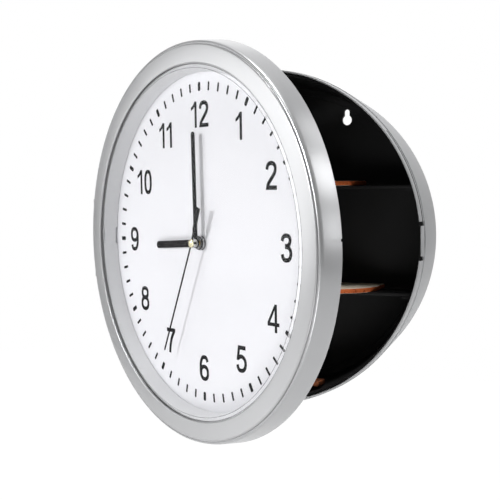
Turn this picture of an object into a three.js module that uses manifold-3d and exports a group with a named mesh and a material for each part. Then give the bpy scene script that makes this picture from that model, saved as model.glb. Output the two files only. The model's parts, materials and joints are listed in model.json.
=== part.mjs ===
// A wall clock whose face is the door of a hidden safe.
// A silver ring carries the lens, the dial and the quartz movement. It swings on a pin at 9 o'clock.
// Behind it a round case hangs on the wall, with a black tub, two ledges and loose shelf boards.
// Millimetres, +Z up. The wall is the plane y = 0 and the clock looks towards -Y.
// Everything on the door is drawn shut, then the door's group is turned about the hinge pin.

import * as THREE from "three";
import { mergeVertices } from "three/addons/utils/BufferGeometryUtils.js";
import Module from "manifold-3d";

const wasm = await Module();
wasm.setup();

// Driving dimensions: clearances
const fit = 0.3; // between pieces that touch in the real clock
const doorPlay = 0.6; // between the door's stack and the case collar round it

// Driving dimensions: the pose
const openAngle = 29; // degrees that the door stands open
const hourAngle = 266.8; // degrees clockwise from 12
const minuteAngle = -1.1;
const secondAngle = 205.5;

// Driving dimensions: case shell, with the collar that plugs into the door
const caseDepth = 60; // wall to the front edge of the collar
const shoulderStep = 0.5; // shell outside the collar, at the shoulder
const shellRearRadius = 109.7;
const shellWall = 1.5;
const collarBore = 113.2; // radius
const collarWall = 1;
const collarLength = 8.9;
const rearFlangeWidth = 5.7;
const rearFlangeThickness = 2;

// Driving dimensions: tub
const tubWall = 1.8;
const tubFloor = 2.3;
const tubSetback = 7.2; // behind the collar's front edge, clear of the shut door's back plate

// Driving dimensions: keyholes for the wall screws
const keyholeSpacing = 92.6;
const keyholeHeight = 81.4;
const keyholeRadius = 3.6;
const keyslotWidth = 4.1;
const keyslotTop = 89;

// Driving dimensions: ledges and boards
const ledgeHeight = 34.6; // top of a ledge above or below the clock's centre line
const ledgeThickness = 2;
const ledgeFront = 27; // behind the collar's front edge
const runnerThickness = 1.6;
const runnerWidth = 5;
const boardThickness = 3.3;
const boardFront = 10.8; // behind the collar's front edge
const boardWidth = 138;
const boardCorner = 29;
const upperBoardShift = -8; // as the loose boards lie
const lowerBoardShift = 5;
const bottomBoardWidth = 80;
const bottomBoardDepth = 12;
const bottomBoardCorner = 3;

// Driving dimensions: door ring
const skirtOverhang = 12.8; // skirt's rear edge outside the collar
const skirtReach = 4.9; // skirt's rear edge behind the collar's front edge, door shut
const skirtDraft = 1.2; // how much narrower the skirt is in front
const skirtWall = 2.1;
const lipInset = 0.9; // ring's inner edge inside the edge of the dial
const ringFaceWall = 2.2;
const ringOuterHeight = 10.6; // outer front edge above the dial
const ringCrownHeight = 12; // highest line of the ring's face above the dial
const ringInnerHeight = 11.7; // inner edge above the dial
const ringLandWidth = 1.1; // flat band outside the groove round the ring's face
const ringGrooveWidth = 0.6;
const ringGrooveDepth = 0.5;
const innerWallThickness = 1.8;
const pryNotchWidth = 1.6;
const pryNotchDepth = 0.9;
const pryNotchHeight = 5.6; // its middle above the centre line

// Driving dimensions: lens, reflector ring and dial
const dialSetback = 0.9; // dial face behind the collar's front edge, door shut
const lensThickness = 1.3; // at its edge
const lensRise = 0.5; // its middle in front of its edge
const lensBevelWidth = 2.5;
const lensLip = 0.9; // thickness of the ring's lip in front of the lens
const reflectorWidth = 5.4; // foot of the reflector ring, which covers the edge of the dial
const dialThickness = 1.2;
const backPlateThickness = 2.3;
const tabWidth = 9.5;
const tabHeight = 2; // its middle above the centre line
const tabGrooveDepth = 0.9;
const screwRadius = 1;
const screwDepth = 5; // in the reflector ring
const screwHeadRadius = 2;
const screwHeadThickness = 1.2;
const screwSlotWidth = 0.6;
const screwSlotDepth = 0.5;

// Driving dimensions: hinge
const hingeInset = 7.5; // pin's axis inside the skirt's rear edge
const hingeFront = 3.5; // in front of the collar's front edge
const pinRadius = 1.2;
const knuckleRadius = 2.8;
const caseKnuckleLength = 10;
const doorKnuckleLength = 9.5;
const knuckleGapHalf = 8; // free middle between the two case knuckles, half of it
const reliefHalfHeight = 36; // cut in the ring's skirt beside the hinge
const reliefDepth = 8;

// Driving dimensions: latch
const tongueWidth = 19.5;
const tongueHeight = -1.3; // its middle above the centre line
const tongueSetback = 1.5; // its tip behind the collar's front edge
const slotWidth = 2.8; // dark slots at the tongue's two sides
const neckLength = 3; // the thin root on which the tongue bends
const neckThickness = 0.5;
const hookHeight = 1.1;
const hookLength = 1.4;
const hookCover = 0.4; // how far the keeper reaches in front of the hook's tip
const keeperThickness = 1.4;
const keeperWidth = 10;

// Driving dimensions: quartz movement
const movementSize = 56;
const movementCorner = 5;
const movementDepth = 15;
const movementWall = 1.6;
const coverThickness = 1.4;
const gasketThickness = 0.9;
const gasketRadius = 14;
const bushRadius = 3.2;
const washerRadius = 4.6;
const washerThickness = 0.4;
const nutAcross = 8.4;
const nutThickness = 0.9;
const batteryRadius = 7.1;
const batteryLength = 49.2;
const batteryNubRadius = 2.7;
const batteryNubLength = 1.2;
const batteryHeight = -17.6; // axis below the hand arbors
const batteryProud = 1.2; // how far the cell stands out of its bay at the rear
const bayClearance = 0.6;
const bayEnd = 1.6; // room for a contact at each end of the bay
const contactThickness = 0.4;
const contactSize = [8, 10];
const bushFlange = 1.4;
const knobRadius = 8;
const knobThickness = 3.4;
const knobRibs = 24;
const knobRibDepth = 0.6;
const knobHole = 3.4; // radius of the hole in the movement's cover

// Driving dimensions: motion work, the gears that slow the hour hand to a twelfth
const gearModule = 0.45;
const cannonTeeth = 10;
const minuteWheelTeeth = 30;
const minutePinionTeeth = 8;
const hourWheelTeeth = 32;
const gearThickness = 1;
const gearLayerGap = 0.5;
const toothAddendum = 0.75; // of the module
const toothDedendum = 1.15; // of the module
const studRadius = 0.6;

// Driving dimensions: circuit board and coil in the movement
const boardPcbSize = [15, 20];
const boardPcbThickness = 1;
const boardPcbPlace = [-17.5, 5];
const boardPcbRise = 4.5; // above the housing's floor
const postRadius = 1.4;
const postInset = 2; // from the board's corner
const coilRadius = 3.4;
const coilFlange = 4.1;
const coilFlangeThickness = 1;
const coilLength = 24;
const coilPlace = [-5, 21.6];

// Driving dimensions: hands, heights above the dial
const hourHandHeight = 2.4;
const minuteHandHeight = 4.1;
const secondHandHeight = 7.9;
const handThickness = 0.4;
const hourReach = 49.9;
const minuteReach = 69.8;
const secondReach = 79.6;
const hourHandWidth = 4.8;
const minuteHandWidth = 4.8;
const secondHandWidth = 1.2;
const secondTail = 24;
const secondTailWidth = 3.8; // at its end
const secondTailNeck = 1.9; // beside the hub
const secondTailStart = 3;
const minuteArborRadius = 1.3;
const hourTubeWall = 0.5;
const secondArborRadius = 0.5;
const hourHubRadius = 4.3;
const minuteBossRadius = 3.1;
const minuteBossHeight = 1.1;
const capRadius = 2.7;
const capHeight = 0.6;

// Facets
const ringFacets = 72;
const smallFacets = 24;

// Places that follow from the sizes
const degrees = Math.PI / 180;
const collarFront = -caseDepth;
const shoulder = collarFront + collarLength;
const collarOuter = collarBore + collarWall;
const shellFrontRadius = collarOuter + shoulderStep;
const shellTaper = (shellFrontRadius - shellRearRadius) / -shoulder;
const shellRadiusAt = (y) => shellRearRadius - shellTaper * y;
const rearFlangeInner = shellRearRadius - rearFlangeWidth;
const tubFront = collarFront + tubSetback;
const tubSeat = -(rearFlangeThickness + fit);
const tubRadiusAt = (y) => {
  const front = collarBore - fit;
  const rear = shellRadiusAt(tubSeat) - shellWall - fit;
  return front + ((rear - front) * (y - tubFront)) / (tubSeat - tubFront);
};
const tubBoreAt = (y) => tubRadiusAt(y) - tubWall;
const tubInside = tubSeat - tubFloor;
const dialFace = collarFront + dialSetback;
const stackRadius = collarBore - doorPlay;
const ringInnerRadius = stackRadius - lipInset;
const dialRadiusShown = stackRadius - reflectorWidth;
const skirtRearRadius = collarOuter + skirtOverhang;
const skirtFrontRadius = skirtRearRadius - skirtDraft;
const skirtRear = collarFront + skirtReach;
const above = (height) => dialFace - height;
const dialRear = dialFace + dialThickness;
const ringFront = above(ringInnerHeight);
const lensFront = ringFront + lensLip;
const lensRear = lensFront + lensThickness;
const innerWallBore = stackRadius + 1;
const innerWallOuter = innerWallBore + innerWallThickness;
const innerWallRear = collarFront - doorPlay;
const hingeX = hingeInset - skirtRearRadius;
const hingeY = collarFront - hingeFront;
const backPlateFront = dialRear + fit;
const backPlateRear = backPlateFront + backPlateThickness;
const movementFront = dialRear + gasketThickness + 2 * fit;
const movementRear = movementFront + movementDepth;

// Solids: a geometry class of three.js becomes a closed solid that can be joined and cut.
function solid(geometry) {
  const bare = geometry.index ? geometry.toNonIndexed() : geometry.clone();
  for (const name of Object.keys(bare.attributes)) {
    if (name !== "position") bare.deleteAttribute(name);
  }
  const merged = mergeVertices(bare, 1e-4);
  const all = merged.index.array;
  const kept = [];
  for (let i = 0; i < all.length; i += 3) {
    const [a, b, c] = [all[i], all[i + 1], all[i + 2]];
    if (a !== b && b !== c && c !== a) kept.push(a, b, c);
  }
  const make = (triVerts) =>
    new wasm.Manifold(
      new wasm.Mesh({ numProp: 3, vertProperties: merged.attributes.position.array, triVerts }),
    );
  const made = make(new Uint32Array(kept));
  if (made.volume() > 0) return made;
  const turned = [];
  for (let i = 0; i < kept.length; i += 3) turned.push(kept[i], kept[i + 2], kept[i + 1]);
  return make(new Uint32Array(turned));
}

const join = (first, ...rest) => rest.reduce((all, next) => all.add(next), first);
const cut = (first, ...rest) => rest.reduce((all, next) => all.subtract(next), first);

// A ring or disc about the clock's own axis, from [radius, y] points.
function revolve(profile, facets = ringFacets) {
  const points = profile.map(([radius, y]) => new THREE.Vector2(radius, y));
  return solid(new THREE.LatheGeometry([...points, points[0]], facets));
}

function box(x0, x1, y0, y1, z0, z1) {
  const made = new THREE.BoxGeometry(Math.abs(x1 - x0), Math.abs(y1 - y0), Math.abs(z1 - z0));
  return solid(made.translate((x0 + x1) / 2, (y0 + y1) / 2, (z0 + z1) / 2));
}

// A round bar along Y between two depths.
function barY(radius, y0, y1, x = 0, z = 0, facets = smallFacets) {
  const made = new THREE.CylinderGeometry(radius, radius, Math.abs(y1 - y0), facets);
  return solid(made.translate(x, (y0 + y1) / 2, z));
}

// A round bar along Z between two heights.
function barZ(radius, z0, z1, x, y, facets = smallFacets) {
  const made = new THREE.CylinderGeometry(radius, radius, Math.abs(z1 - z0), facets);
  return solid(made.rotateX(Math.PI / 2).translate(x, y, (z0 + z1) / 2));
}

// A round bar along X between two places.
function barX(radius, x0, x1, y, z, facets = smallFacets) {
  const made = new THREE.CylinderGeometry(radius, radius, Math.abs(x1 - x0), facets);
  return solid(made.rotateZ(Math.PI / 2).translate((x0 + x1) / 2, y, z));
}

// A plate that faces the room: the outline is in X and Z, the thickness runs along Y.
function plate(outline, y0, y1, curveSegments = 8) {
  const depth = Math.abs(y1 - y0);
  const made = new THREE.ExtrudeGeometry(outline, { depth, bevelEnabled: false, curveSegments });
  return solid(made.rotateX(Math.PI / 2).translate(0, Math.max(y0, y1), 0));
}

// A level plate: the outline is in X and Y, the thickness runs along Z.
function level(outline, z0, z1, curveSegments = 8) {
  const depth = Math.abs(z1 - z0);
  const made = new THREE.ExtrudeGeometry(outline, { depth, bevelEnabled: false, curveSegments });
  return solid(made.translate(0, 0, Math.min(z0, z1)));
}

function roundedRectangle(x0, x1, z0, z1, radius) {
  const outline = new THREE.Shape();
  outline.moveTo(x0 + radius, z0);
  outline.lineTo(x1 - radius, z0);
  outline.absarc(x1 - radius, z0 + radius, radius, -Math.PI / 2, 0);
  outline.lineTo(x1, z1 - radius);
  outline.absarc(x1 - radius, z1 - radius, radius, 0, Math.PI / 2);
  outline.lineTo(x0 + radius, z1);
  outline.absarc(x0 + radius, z1 - radius, radius, Math.PI / 2, Math.PI);
  outline.lineTo(x0, z0 + radius);
  outline.absarc(x0 + radius, z0 + radius, radius, Math.PI, Math.PI * 1.5);
  return outline;
}

// Materials
const paint = (color, roughness, metalness = 0) =>
  new THREE.MeshStandardMaterial({ color, roughness, metalness });
const silver = () => paint(0xb4b4b8, 0.42, 0.3);
const black = () => paint(0x0d0d0e, 0.5);
const steel = () => paint(0xa0a2a6, 0.3, 1);
const brass = () => paint(0xc69a4a, 0.3, 1);
const boardFinish = () => paint(0xc25a2c, 0.8);

function piece(name, made, material, parent) {
  const mesh = made.getMesh();
  const geometry = new THREE.BufferGeometry();
  geometry.setAttribute("position", new THREE.BufferAttribute(mesh.vertProperties, 3));
  geometry.setIndex(new THREE.BufferAttribute(mesh.triVerts, 1));
  geometry.computeVertexNormals();
  const named = new THREE.Mesh(geometry, material);
  named.name = name;
  parent.add(named);
  return named;
}

const clock = new THREE.Group();

// Everything on the door sits in a frame that is turned about the hinge pin.
const door = new THREE.Group();
door.position.set(hingeX, hingeY, 0);
door.rotation.z = -openAngle * degrees;
const doorFrame = new THREE.Group();
doorFrame.position.set(-hingeX, -hingeY, 0);
door.add(doorFrame);
clock.add(door);

// Hinge: two knuckles on the case and two on the door share one pin.
const caseKnuckle = [knuckleGapHalf, knuckleGapHalf + caseKnuckleLength];
const doorKnuckle = [caseKnuckle[1] + fit, caseKnuckle[1] + fit + doorKnuckleLength];
const pinHole = (z0, z1) => barZ(pinRadius + fit, z0, z1, hingeX, hingeY);

function caseLug([z0, z1]) {
  const root = 1 - collarBore;
  const arm = new THREE.Shape();
  arm.moveTo(hingeX, hingeY + knuckleRadius * 0.95);
  arm.lineTo(hingeX + knuckleRadius * 0.9, hingeY + knuckleRadius * 0.4);
  arm.lineTo(-innerWallOuter - fit, innerWallRear);
  arm.lineTo(-collarOuter, collarFront);
  arm.lineTo(root, collarFront);
  arm.lineTo(root, skirtRear);
  arm.lineTo(-collarOuter - 2, skirtRear);
  const bore = revolve([
    [0, collarFront - 1],
    [collarBore, collarFront - 1],
    [collarBore, skirtRear + 1],
    [0, skirtRear + 1],
  ]);
  const knuckle = barZ(knuckleRadius, z0, z1, hingeX, hingeY);
  return cut(join(level(arm, z0, z1), knuckle), pinHole(z0 - 1, z1 + 1), bore);
}

function doorLug([z0, z1]) {
  const web = box(
    hingeX - knuckleRadius,
    hingeX + knuckleRadius,
    above(ringOuterHeight),
    hingeY,
    z0,
    z1,
  );
  const knuckle = barZ(knuckleRadius, z0, z1, hingeX, hingeY);
  return cut(join(web, knuckle), pinHole(z0 - 1, z1 + 1));
}

const mirrored = ([z0, z1]) => [-z1, -z0];

// Case shell
const tongueTip = collarFront + tongueSetback;
const tongueRoot = shoulder - fit;

function caseShell() {
  const step = shoulder + shellWall / 2;
  let shell = revolve([
    [collarBore, collarFront],
    [collarOuter, collarFront],
    [collarOuter, shoulder],
    [shellFrontRadius, shoulder],
    [shellRearRadius, 0],
    [rearFlangeInner, 0],
    [rearFlangeInner, -rearFlangeThickness],
    [shellRadiusAt(-rearFlangeThickness) - shellWall, -rearFlangeThickness],
    [shellRadiusAt(step + 2) - shellWall, step + 2],
    [collarBore, step],
  ]);
  const half = tongueWidth / 2 + slotWidth;
  const opening = box(
    collarBore - slotWidth,
    collarOuter + 1,
    collarFront - 1,
    shoulder,
    tongueHeight - half,
    tongueHeight + half,
  );
  shell = cut(shell, opening);
  return join(shell, caseLug(caseKnuckle), caseLug(mirrored(caseKnuckle)));
}
piece("case_shell", caseShell(), silver(), clock);

piece(
  "hinge_pin",
  barZ(pinRadius, -doorKnuckle[1], doorKnuckle[1], hingeX, hingeY),
  steel(),
  clock,
);

// Latch tongue: a springy strip in the collar, with a hook on its outer face and a thin neck
function latchTongue() {
  const half = tongueWidth / 2;
  const outline = new THREE.Shape();
  outline.moveTo(collarBore, tongueTip);
  outline.lineTo(collarOuter, tongueTip);
  outline.lineTo(collarOuter + hookHeight, tongueTip + hookLength * 0.7);
  outline.lineTo(collarOuter + hookHeight, tongueTip + hookLength);
  outline.lineTo(collarOuter, tongueTip + hookLength);
  outline.lineTo(collarOuter, tongueRoot - neckLength);
  outline.lineTo(collarBore + neckThickness, tongueRoot - neckLength);
  outline.lineTo(collarBore + neckThickness, tongueRoot);
  outline.lineTo(collarBore, tongueRoot);
  return level(outline, tongueHeight - half, tongueHeight + half);
}
piece("latch_tongue", latchTongue(), silver(), clock);

// Tub with its floor, keyholes and the runners that carry the ledges
const upperLedge = ledgeHeight;
const lowerLedge = -ledgeHeight - boardThickness;
const ledgeFrontY = collarFront + ledgeFront;

function keyhole(x) {
  const round = barY(keyholeRadius, tubInside - 1, 1, x, keyholeHeight);
  const slotTopCentre = keyslotTop - keyslotWidth / 2;
  const slot = box(
    x - keyslotWidth / 2,
    x + keyslotWidth / 2,
    tubInside - 1,
    1,
    keyholeHeight,
    slotTopCentre,
  );
  return join(round, slot, barY(keyslotWidth / 2, tubInside - 1, 1, x, slotTopCentre));
}

function tub() {
  const floorStep = rearFlangeInner - fit;
  const bowl = revolve([
    [0, 0],
    [floorStep, 0],
    [floorStep, tubSeat],
    [tubRadiusAt(tubSeat), tubSeat],
    [tubRadiusAt(tubFront), tubFront],
    [tubBoreAt(tubFront), tubFront],
    [tubBoreAt(tubInside), tubInside],
    [floorStep - tubFloor, tubInside],
    [floorStep - tubFloor, -tubFloor],
    [0, -tubFloor],
  ]);
  const runners = [];
  for (const top of [upperLedge, lowerLedge]) {
    const under = top - ledgeThickness - fit;
    for (const side of [-1, 1]) {
      const reach = Math.sqrt(tubBoreAt(ledgeFrontY) ** 2 - under ** 2);
      const inner = Math.sqrt(tubBoreAt(tubInside) ** 2 - under ** 2) - runnerWidth;
      runners.push(
        box(side * inner, side * (reach + 3), ledgeFrontY, tubInside, under - runnerThickness, under),
      );
    }
  }
  const room = revolve([
    [0, -tubFloor / 2],
    [floorStep - 1, -tubFloor / 2],
    [tubRadiusAt(tubInside) - tubWall / 2, tubInside],
    [tubRadiusAt(tubFront) - tubWall / 2, tubFront],
    [0, tubFront],
  ]);
  const ribs = join(...runners).intersect(room);
  return cut(
    join(bowl, ribs),
    keyhole(-keyholeSpacing / 2),
    keyhole(keyholeSpacing / 2),
  );
}
piece("tub", tub(), black(), clock);

// Ledges: black plates across the tub, their ends shaped to its wall
function ledge(top) {
  const low = top - ledgeThickness;
  const furthest = Math.max(Math.abs(top), Math.abs(low));
  const endAt = (y) => Math.sqrt((tubBoreAt(y) - fit) ** 2 - furthest ** 2);
  const rear = tubInside - fit;
  const outline = new THREE.Shape();
  outline.moveTo(-endAt(ledgeFrontY), ledgeFrontY);
  outline.lineTo(endAt(ledgeFrontY), ledgeFrontY);
  outline.lineTo(endAt(rear), rear);
  outline.lineTo(-endAt(rear), rear);
  return level(outline, low, top);
}
piece("ledge_upper", ledge(upperLedge), black(), clock);
piece("ledge_lower", ledge(lowerLedge), black(), clock);

// Shelf boards: loose fibreboards with two large front corners
function board(top, width, front, rear, corner, shift) {
  const half = width / 2;
  const outline = new THREE.Shape();
  outline.moveTo(shift - half, rear);
  outline.lineTo(shift - half, front + corner);
  outline.absarc(shift - half + corner, front + corner, corner, Math.PI, Math.PI * 1.5);
  outline.lineTo(shift + half - corner, front);
  outline.absarc(shift + half - corner, front + corner, corner, -Math.PI / 2, 0);
  outline.lineTo(shift + half, rear);
  return level(outline, top - boardThickness, top, 10);
}
const boardRear = tubInside - fit;
const boardFrontY = collarFront + boardFront;
const seated = (ledgeTop) => ledgeTop + fit + boardThickness;
piece(
  "shelf_board_upper",
  board(seated(upperLedge), boardWidth, boardFrontY, boardRear, boardCorner, upperBoardShift),
  boardFinish(),
  clock,
);
piece(
  "shelf_board_lower",
  board(seated(lowerLedge), boardWidth, boardFrontY, boardRear, boardCorner, lowerBoardShift),
  boardFinish(),
  clock,
);

// A short strip of the same board lies across the round bottom of the tub, on its two ends.
const bottomBoardRear = boardFrontY + bottomBoardDepth;
const bottomBoardLow = -Math.sqrt(
  (tubBoreAt(bottomBoardRear) - fit) ** 2 - (bottomBoardWidth / 2) ** 2,
);
piece(
  "board_strip_bottom",
  board(
    bottomBoardLow + boardThickness,
    bottomBoardWidth,
    boardFrontY,
    bottomBoardRear,
    bottomBoardCorner,
    0,
  ),
  boardFinish(),
  clock,
);

// Door ring: outer skirt, crowned face, lip over the lens and the inner wall round the dial stack
function doorRing() {
  const faceSpan = skirtFrontRadius - ringInnerRadius;
  const crownRadius = ringInnerRadius + faceSpan * 0.5;
  const faceInside = above(ringOuterHeight) + ringFaceWall - 0.6;
  const innerSkirt = (radius) => radius - skirtWall;
  const landOuter = skirtFrontRadius - 0.5;
  const grooveOuter = landOuter - ringLandWidth;
  const grooveInner = grooveOuter - ringGrooveWidth;
  let ring = revolve([
    [skirtRearRadius, skirtRear],
    [skirtFrontRadius, above(ringOuterHeight - 2)],
    [landOuter, above(ringOuterHeight - 0.3)],
    [grooveOuter, above(ringOuterHeight)],
    [grooveOuter, above(ringOuterHeight - ringGrooveDepth)],
    [grooveInner, above(ringOuterHeight - ringGrooveDepth)],
    [grooveInner, above(ringOuterHeight + 0.3)],
    [grooveInner - 1.2, above(ringCrownHeight - 0.5)],
    [crownRadius + 1.6, above(ringCrownHeight - 0.1)],
    [crownRadius - 2, above(ringCrownHeight)],
    [ringInnerRadius + 0.6, above(ringInnerHeight + 0.15)],
    [ringInnerRadius, ringFront + 0.4],
    [ringInnerRadius, lensFront - fit],
    [innerWallBore, lensFront - fit],
    [innerWallBore, innerWallRear],
    [innerWallOuter, innerWallRear],
    [innerWallOuter, faceInside],
    [innerSkirt(skirtFrontRadius) - 1, faceInside],
    [innerSkirt(skirtFrontRadius), faceInside + 1],
    [innerSkirt(skirtRearRadius), skirtRear],
  ]);
  const relief = box(
    -skirtRearRadius - 1,
    -collarOuter,
    skirtRear - reliefDepth,
    skirtRear + 1,
    -reliefHalfHeight,
    reliefHalfHeight,
  );
  const pryNotch = box(
    skirtRearRadius - skirtWall - 1,
    skirtRearRadius + 1,
    skirtRear - pryNotchDepth,
    skirtRear + 1,
    pryNotchHeight - pryNotchWidth / 2,
    pryNotchHeight + pryNotchWidth / 2,
  );
  ring = cut(ring, relief, pryNotch);
  const keeperInner = collarOuter + hookHeight - hookCover;
  const keeperFront = tongueTip + hookLength + fit;
  const keeper = box(
    keeperInner,
    skirtRearRadius - skirtWall / 2,
    keeperFront,
    keeperFront + keeperThickness,
    tongueHeight - keeperWidth / 2,
    tongueHeight + keeperWidth / 2,
  );
  return join(ring, doorLug(doorKnuckle), doorLug(mirrored(doorKnuckle)), keeper);
}
piece("door_ring", doorRing(), silver(), doorFrame);

// Lens: a clear sheet whose middle stands a little forward, with a bevel round it
const lensRadius = innerWallBore - fit;
const bevelOuter = ringInnerRadius - fit;
piece(
  "lens",
  revolve([
    [0, lensFront - lensRise],
    [bevelOuter - lensBevelWidth, lensFront - lensRise],
    [bevelOuter, lensFront],
    [lensRadius, lensFront],
    [lensRadius, lensRear],
    [0, lensRear],
  ]),
  new THREE.MeshStandardMaterial({
    color: 0xeef2f4,
    roughness: 0.05,
    transparent: true,
    opacity: 0.15,
  }),
  doorFrame,
);

// Reflector ring: the sloping wall between lens and dial, with a snap tab at 9 and 3 o'clock
const reflectorFront = lensRear + fit;
const reflectorRear = dialFace - fit;
const screwCircle = (dialRadiusShown + stackRadius) / 2 + 0.2;
const screwAngles = [45, 135, 225, 315];
const screwPlaces = screwAngles.map((angle) => [
  screwCircle * Math.sin(angle * degrees),
  screwCircle * Math.cos(angle * degrees),
]);

function reflectorRing() {
  let ring = revolve([
    [stackRadius - 0.4, reflectorFront],
    [stackRadius - 0.4, reflectorRear],
    [dialRadiusShown, reflectorRear],
    [ringInnerRadius - 0.6, reflectorFront],
  ]);
  for (const side of [-1, 1]) {
    const half = tabWidth / 2;
    const groove = (y0, y1, wider) =>
      box(
        side * (dialRadiusShown - 1),
        side * (ringInnerRadius - 0.2),
        y0,
        y1,
        tabHeight - half - wider,
        tabHeight + half + wider,
      );
    ring = cut(
      ring,
      groove(reflectorFront - 1, reflectorFront + tabGrooveDepth, 0),
      groove(reflectorRear - tabGrooveDepth, reflectorRear + 1, 1),
    );
  }
  const holes = screwPlaces.map(([x, z]) =>
    barY(screwRadius + fit, reflectorRear - screwDepth, reflectorRear + 1, x, z, 12),
  );
  return cut(ring, ...holes);
}
piece("reflector_ring", reflectorRing(), paint(0xc9cbcf, 0.18, 0.1), doorFrame);

// Dial and back plate, held to the reflector ring by four screws
function dial() {
  const disc = revolve([
    [bushRadius + fit, dialFace],
    [stackRadius, dialFace],
    [stackRadius, dialRear],
    [bushRadius + fit, dialRear],
  ]);
  const holes = screwPlaces.map(([x, z]) =>
    barY(screwRadius + fit, dialFace - 1, dialRear + 1, x, z, 12),
  );
  return cut(disc, ...holes);
}
piece("dial", dial(), paint(0xf6f6f8, 0.55), doorFrame);

const windowHalf = movementSize / 2 + fit;

function backPlate() {
  const hub = movementSize * 0.6;
  const disc = revolve([
    [hub * 0.3, backPlateFront],
    [stackRadius, backPlateFront],
    [stackRadius, backPlateRear],
    [hub * 0.3, backPlateRear],
  ]);
  const opening = plate(
    roundedRectangle(-windowHalf, windowHalf, -windowHalf, windowHalf, movementCorner),
    backPlateFront - 1,
    backPlateRear + 1,
  );
  const holes = screwPlaces.map(([x, z]) =>
    barY(screwRadius + fit, backPlateFront - 1, backPlateRear + 1, x, z, 12),
  );
  return cut(disc, opening, ...holes);
}
piece("back_plate", backPlate(), black(), doorFrame);

function plateScrew([x, z]) {
  const headFront = backPlateRear + fit;
  const headRear = headFront + screwHeadThickness;
  const head = barY(screwHeadRadius, headFront, headRear, x, z, 16);
  const shank = barY(screwRadius, reflectorRear - screwDepth + fit, headFront + fit, x, z, 12);
  const slot = box(
    x - screwHeadRadius - 1,
    x + screwHeadRadius + 1,
    headRear - screwSlotDepth,
    headRear + 1,
    z - screwSlotWidth / 2,
    z + screwSlotWidth / 2,
  );
  return cut(join(head, shank), slot);
}
screwPlaces.forEach((place, i) => {
  piece("back_plate_screw_" + (i + 1), plateScrew(place), steel(), doorFrame);
});

// Quartz movement: housing open to the rear, with the battery bay along its lower edge
const hourTubeRadius = minuteArborRadius + fit + hourTubeWall;
const bushBore = hourTubeRadius + fit;
const bushFront = above(washerThickness + nutThickness + 2 * fit);
const bayRadius = batteryRadius + bayClearance;
const bayTop = batteryHeight + bayRadius;
const bayHalf = batteryLength / 2 + batteryNubLength + bayEnd;
const coverFront = movementRear - coverThickness;
const bayAxis = movementRear - batteryRadius + batteryProud;
const wallFloor = movementFront + movementWall;

// Motion work: a cannon pinion drives the minute wheel, whose own pinion drives the hour wheel.
const gearSpacing = ((cannonTeeth + minuteWheelTeeth) * gearModule) / 2;
const hourWheelFront = wallFloor + fit + bushFlange + fit;
const hourWheelRear = hourWheelFront + gearThickness;
const cannonFront = hourWheelRear + gearLayerGap;
const cannonRear = cannonFront + gearThickness;

// A spur gear about the clock's axis, with one tooth centred at `first` degrees from +X to +Z.
function gear(teeth, first, y0, y1) {
  const pitch = (teeth * gearModule) / 2;
  const flanks = [
    [pitch - toothDedendum * gearModule, -0.3],
    [pitch + toothAddendum * gearModule, -0.1],
    [pitch + toothAddendum * gearModule, 0.1],
    [pitch - toothDedendum * gearModule, 0.3],
  ];
  const outline = new THREE.Shape();
  for (let i = 0; i < teeth * flanks.length; i += 1) {
    const [radius, share] = flanks[i % flanks.length];
    const tooth = Math.floor(i / flanks.length);
    const angle = first * degrees + ((tooth + share) / teeth) * Math.PI * 2;
    outline[i ? "lineTo" : "moveTo"](radius * Math.cos(angle), radius * Math.sin(angle));
  }
  return plate(outline, y0, y1, 1);
}

function movementHousing() {
  const half = movementSize / 2;
  const outer = plate(
    roundedRectangle(-half, half, -half, half, movementCorner),
    movementFront,
    movementRear,
  );
  const gearRoom = plate(
    roundedRectangle(
      -half + movementWall,
      half - movementWall,
      bayTop + movementWall,
      half - movementWall,
      movementCorner - movementWall,
    ),
    wallFloor,
    movementRear + 1,
  );
  const bay = box(
    -bayHalf + batteryNubLength,
    bayHalf,
    bayAxis,
    movementRear + 1,
    batteryHeight - bayRadius,
    bayTop,
  );
  const bayRound = barX(bayRadius, -bayHalf + batteryNubLength, bayHalf, bayAxis, batteryHeight);
  const bushHole = barY(bushRadius + fit, movementFront - 1, wallFloor + 1);
  const hollow = cut(outer, gearRoom, bay, bayRound, bushHole);
  const stud = barY(studRadius, wallFloor - 0.5, cannonRear + fit, 0, gearSpacing, 12);
  const [pcbX, pcbZ] = boardPcbPlace;
  const posts = [-1, 1].map((side) =>
    barY(
      postRadius,
      wallFloor - 0.5,
      wallFloor + boardPcbRise - fit,
      pcbX + side * (boardPcbSize[0] / 2 - postInset),
      pcbZ + side * (boardPcbSize[1] / 2 - postInset),
      12,
    ),
  );
  return join(hollow, stud, ...posts);
}
piece("movement_housing", movementHousing(), paint(0x18181a, 0.45), doorFrame);

// Movement cover: the rear plate over the gear room, with the hole for the set knob
function movementCover() {
  const half = movementSize / 2 - movementWall - fit;
  const low = bayTop + movementWall + fit;
  const lid = plate(
    roundedRectangle(-half, half, low, half, movementCorner - movementWall),
    coverFront,
    movementRear,
  );
  return cut(lid, barY(knobHole, coverFront - 1, movementRear + 1));
}
piece("movement_cover", movementCover(), paint(0x202022, 0.4), doorFrame);

piece(
  "gasket",
  revolve(
    [
      [bushRadius + fit, dialRear + fit],
      [gasketRadius, dialRear + fit],
      [gasketRadius, dialRear + fit + gasketThickness],
      [bushRadius + fit, dialRear + fit + gasketThickness],
    ],
    36,
  ),
  paint(0x141414, 0.9),
  doorFrame,
);

// Threaded bush, washer and hex nut that clamp the movement to the dial
piece(
  "centre_bush",
  revolve(
    [
      [bushBore, bushFront],
      [bushRadius, bushFront],
      [bushRadius, wallFloor + fit],
      [bushRadius + bushFlange, wallFloor + fit],
      [bushRadius + bushFlange, wallFloor + fit + bushFlange],
      [bushBore, wallFloor + fit + bushFlange],
    ],
    smallFacets,
  ),
  brass(),
  doorFrame,
);

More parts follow.
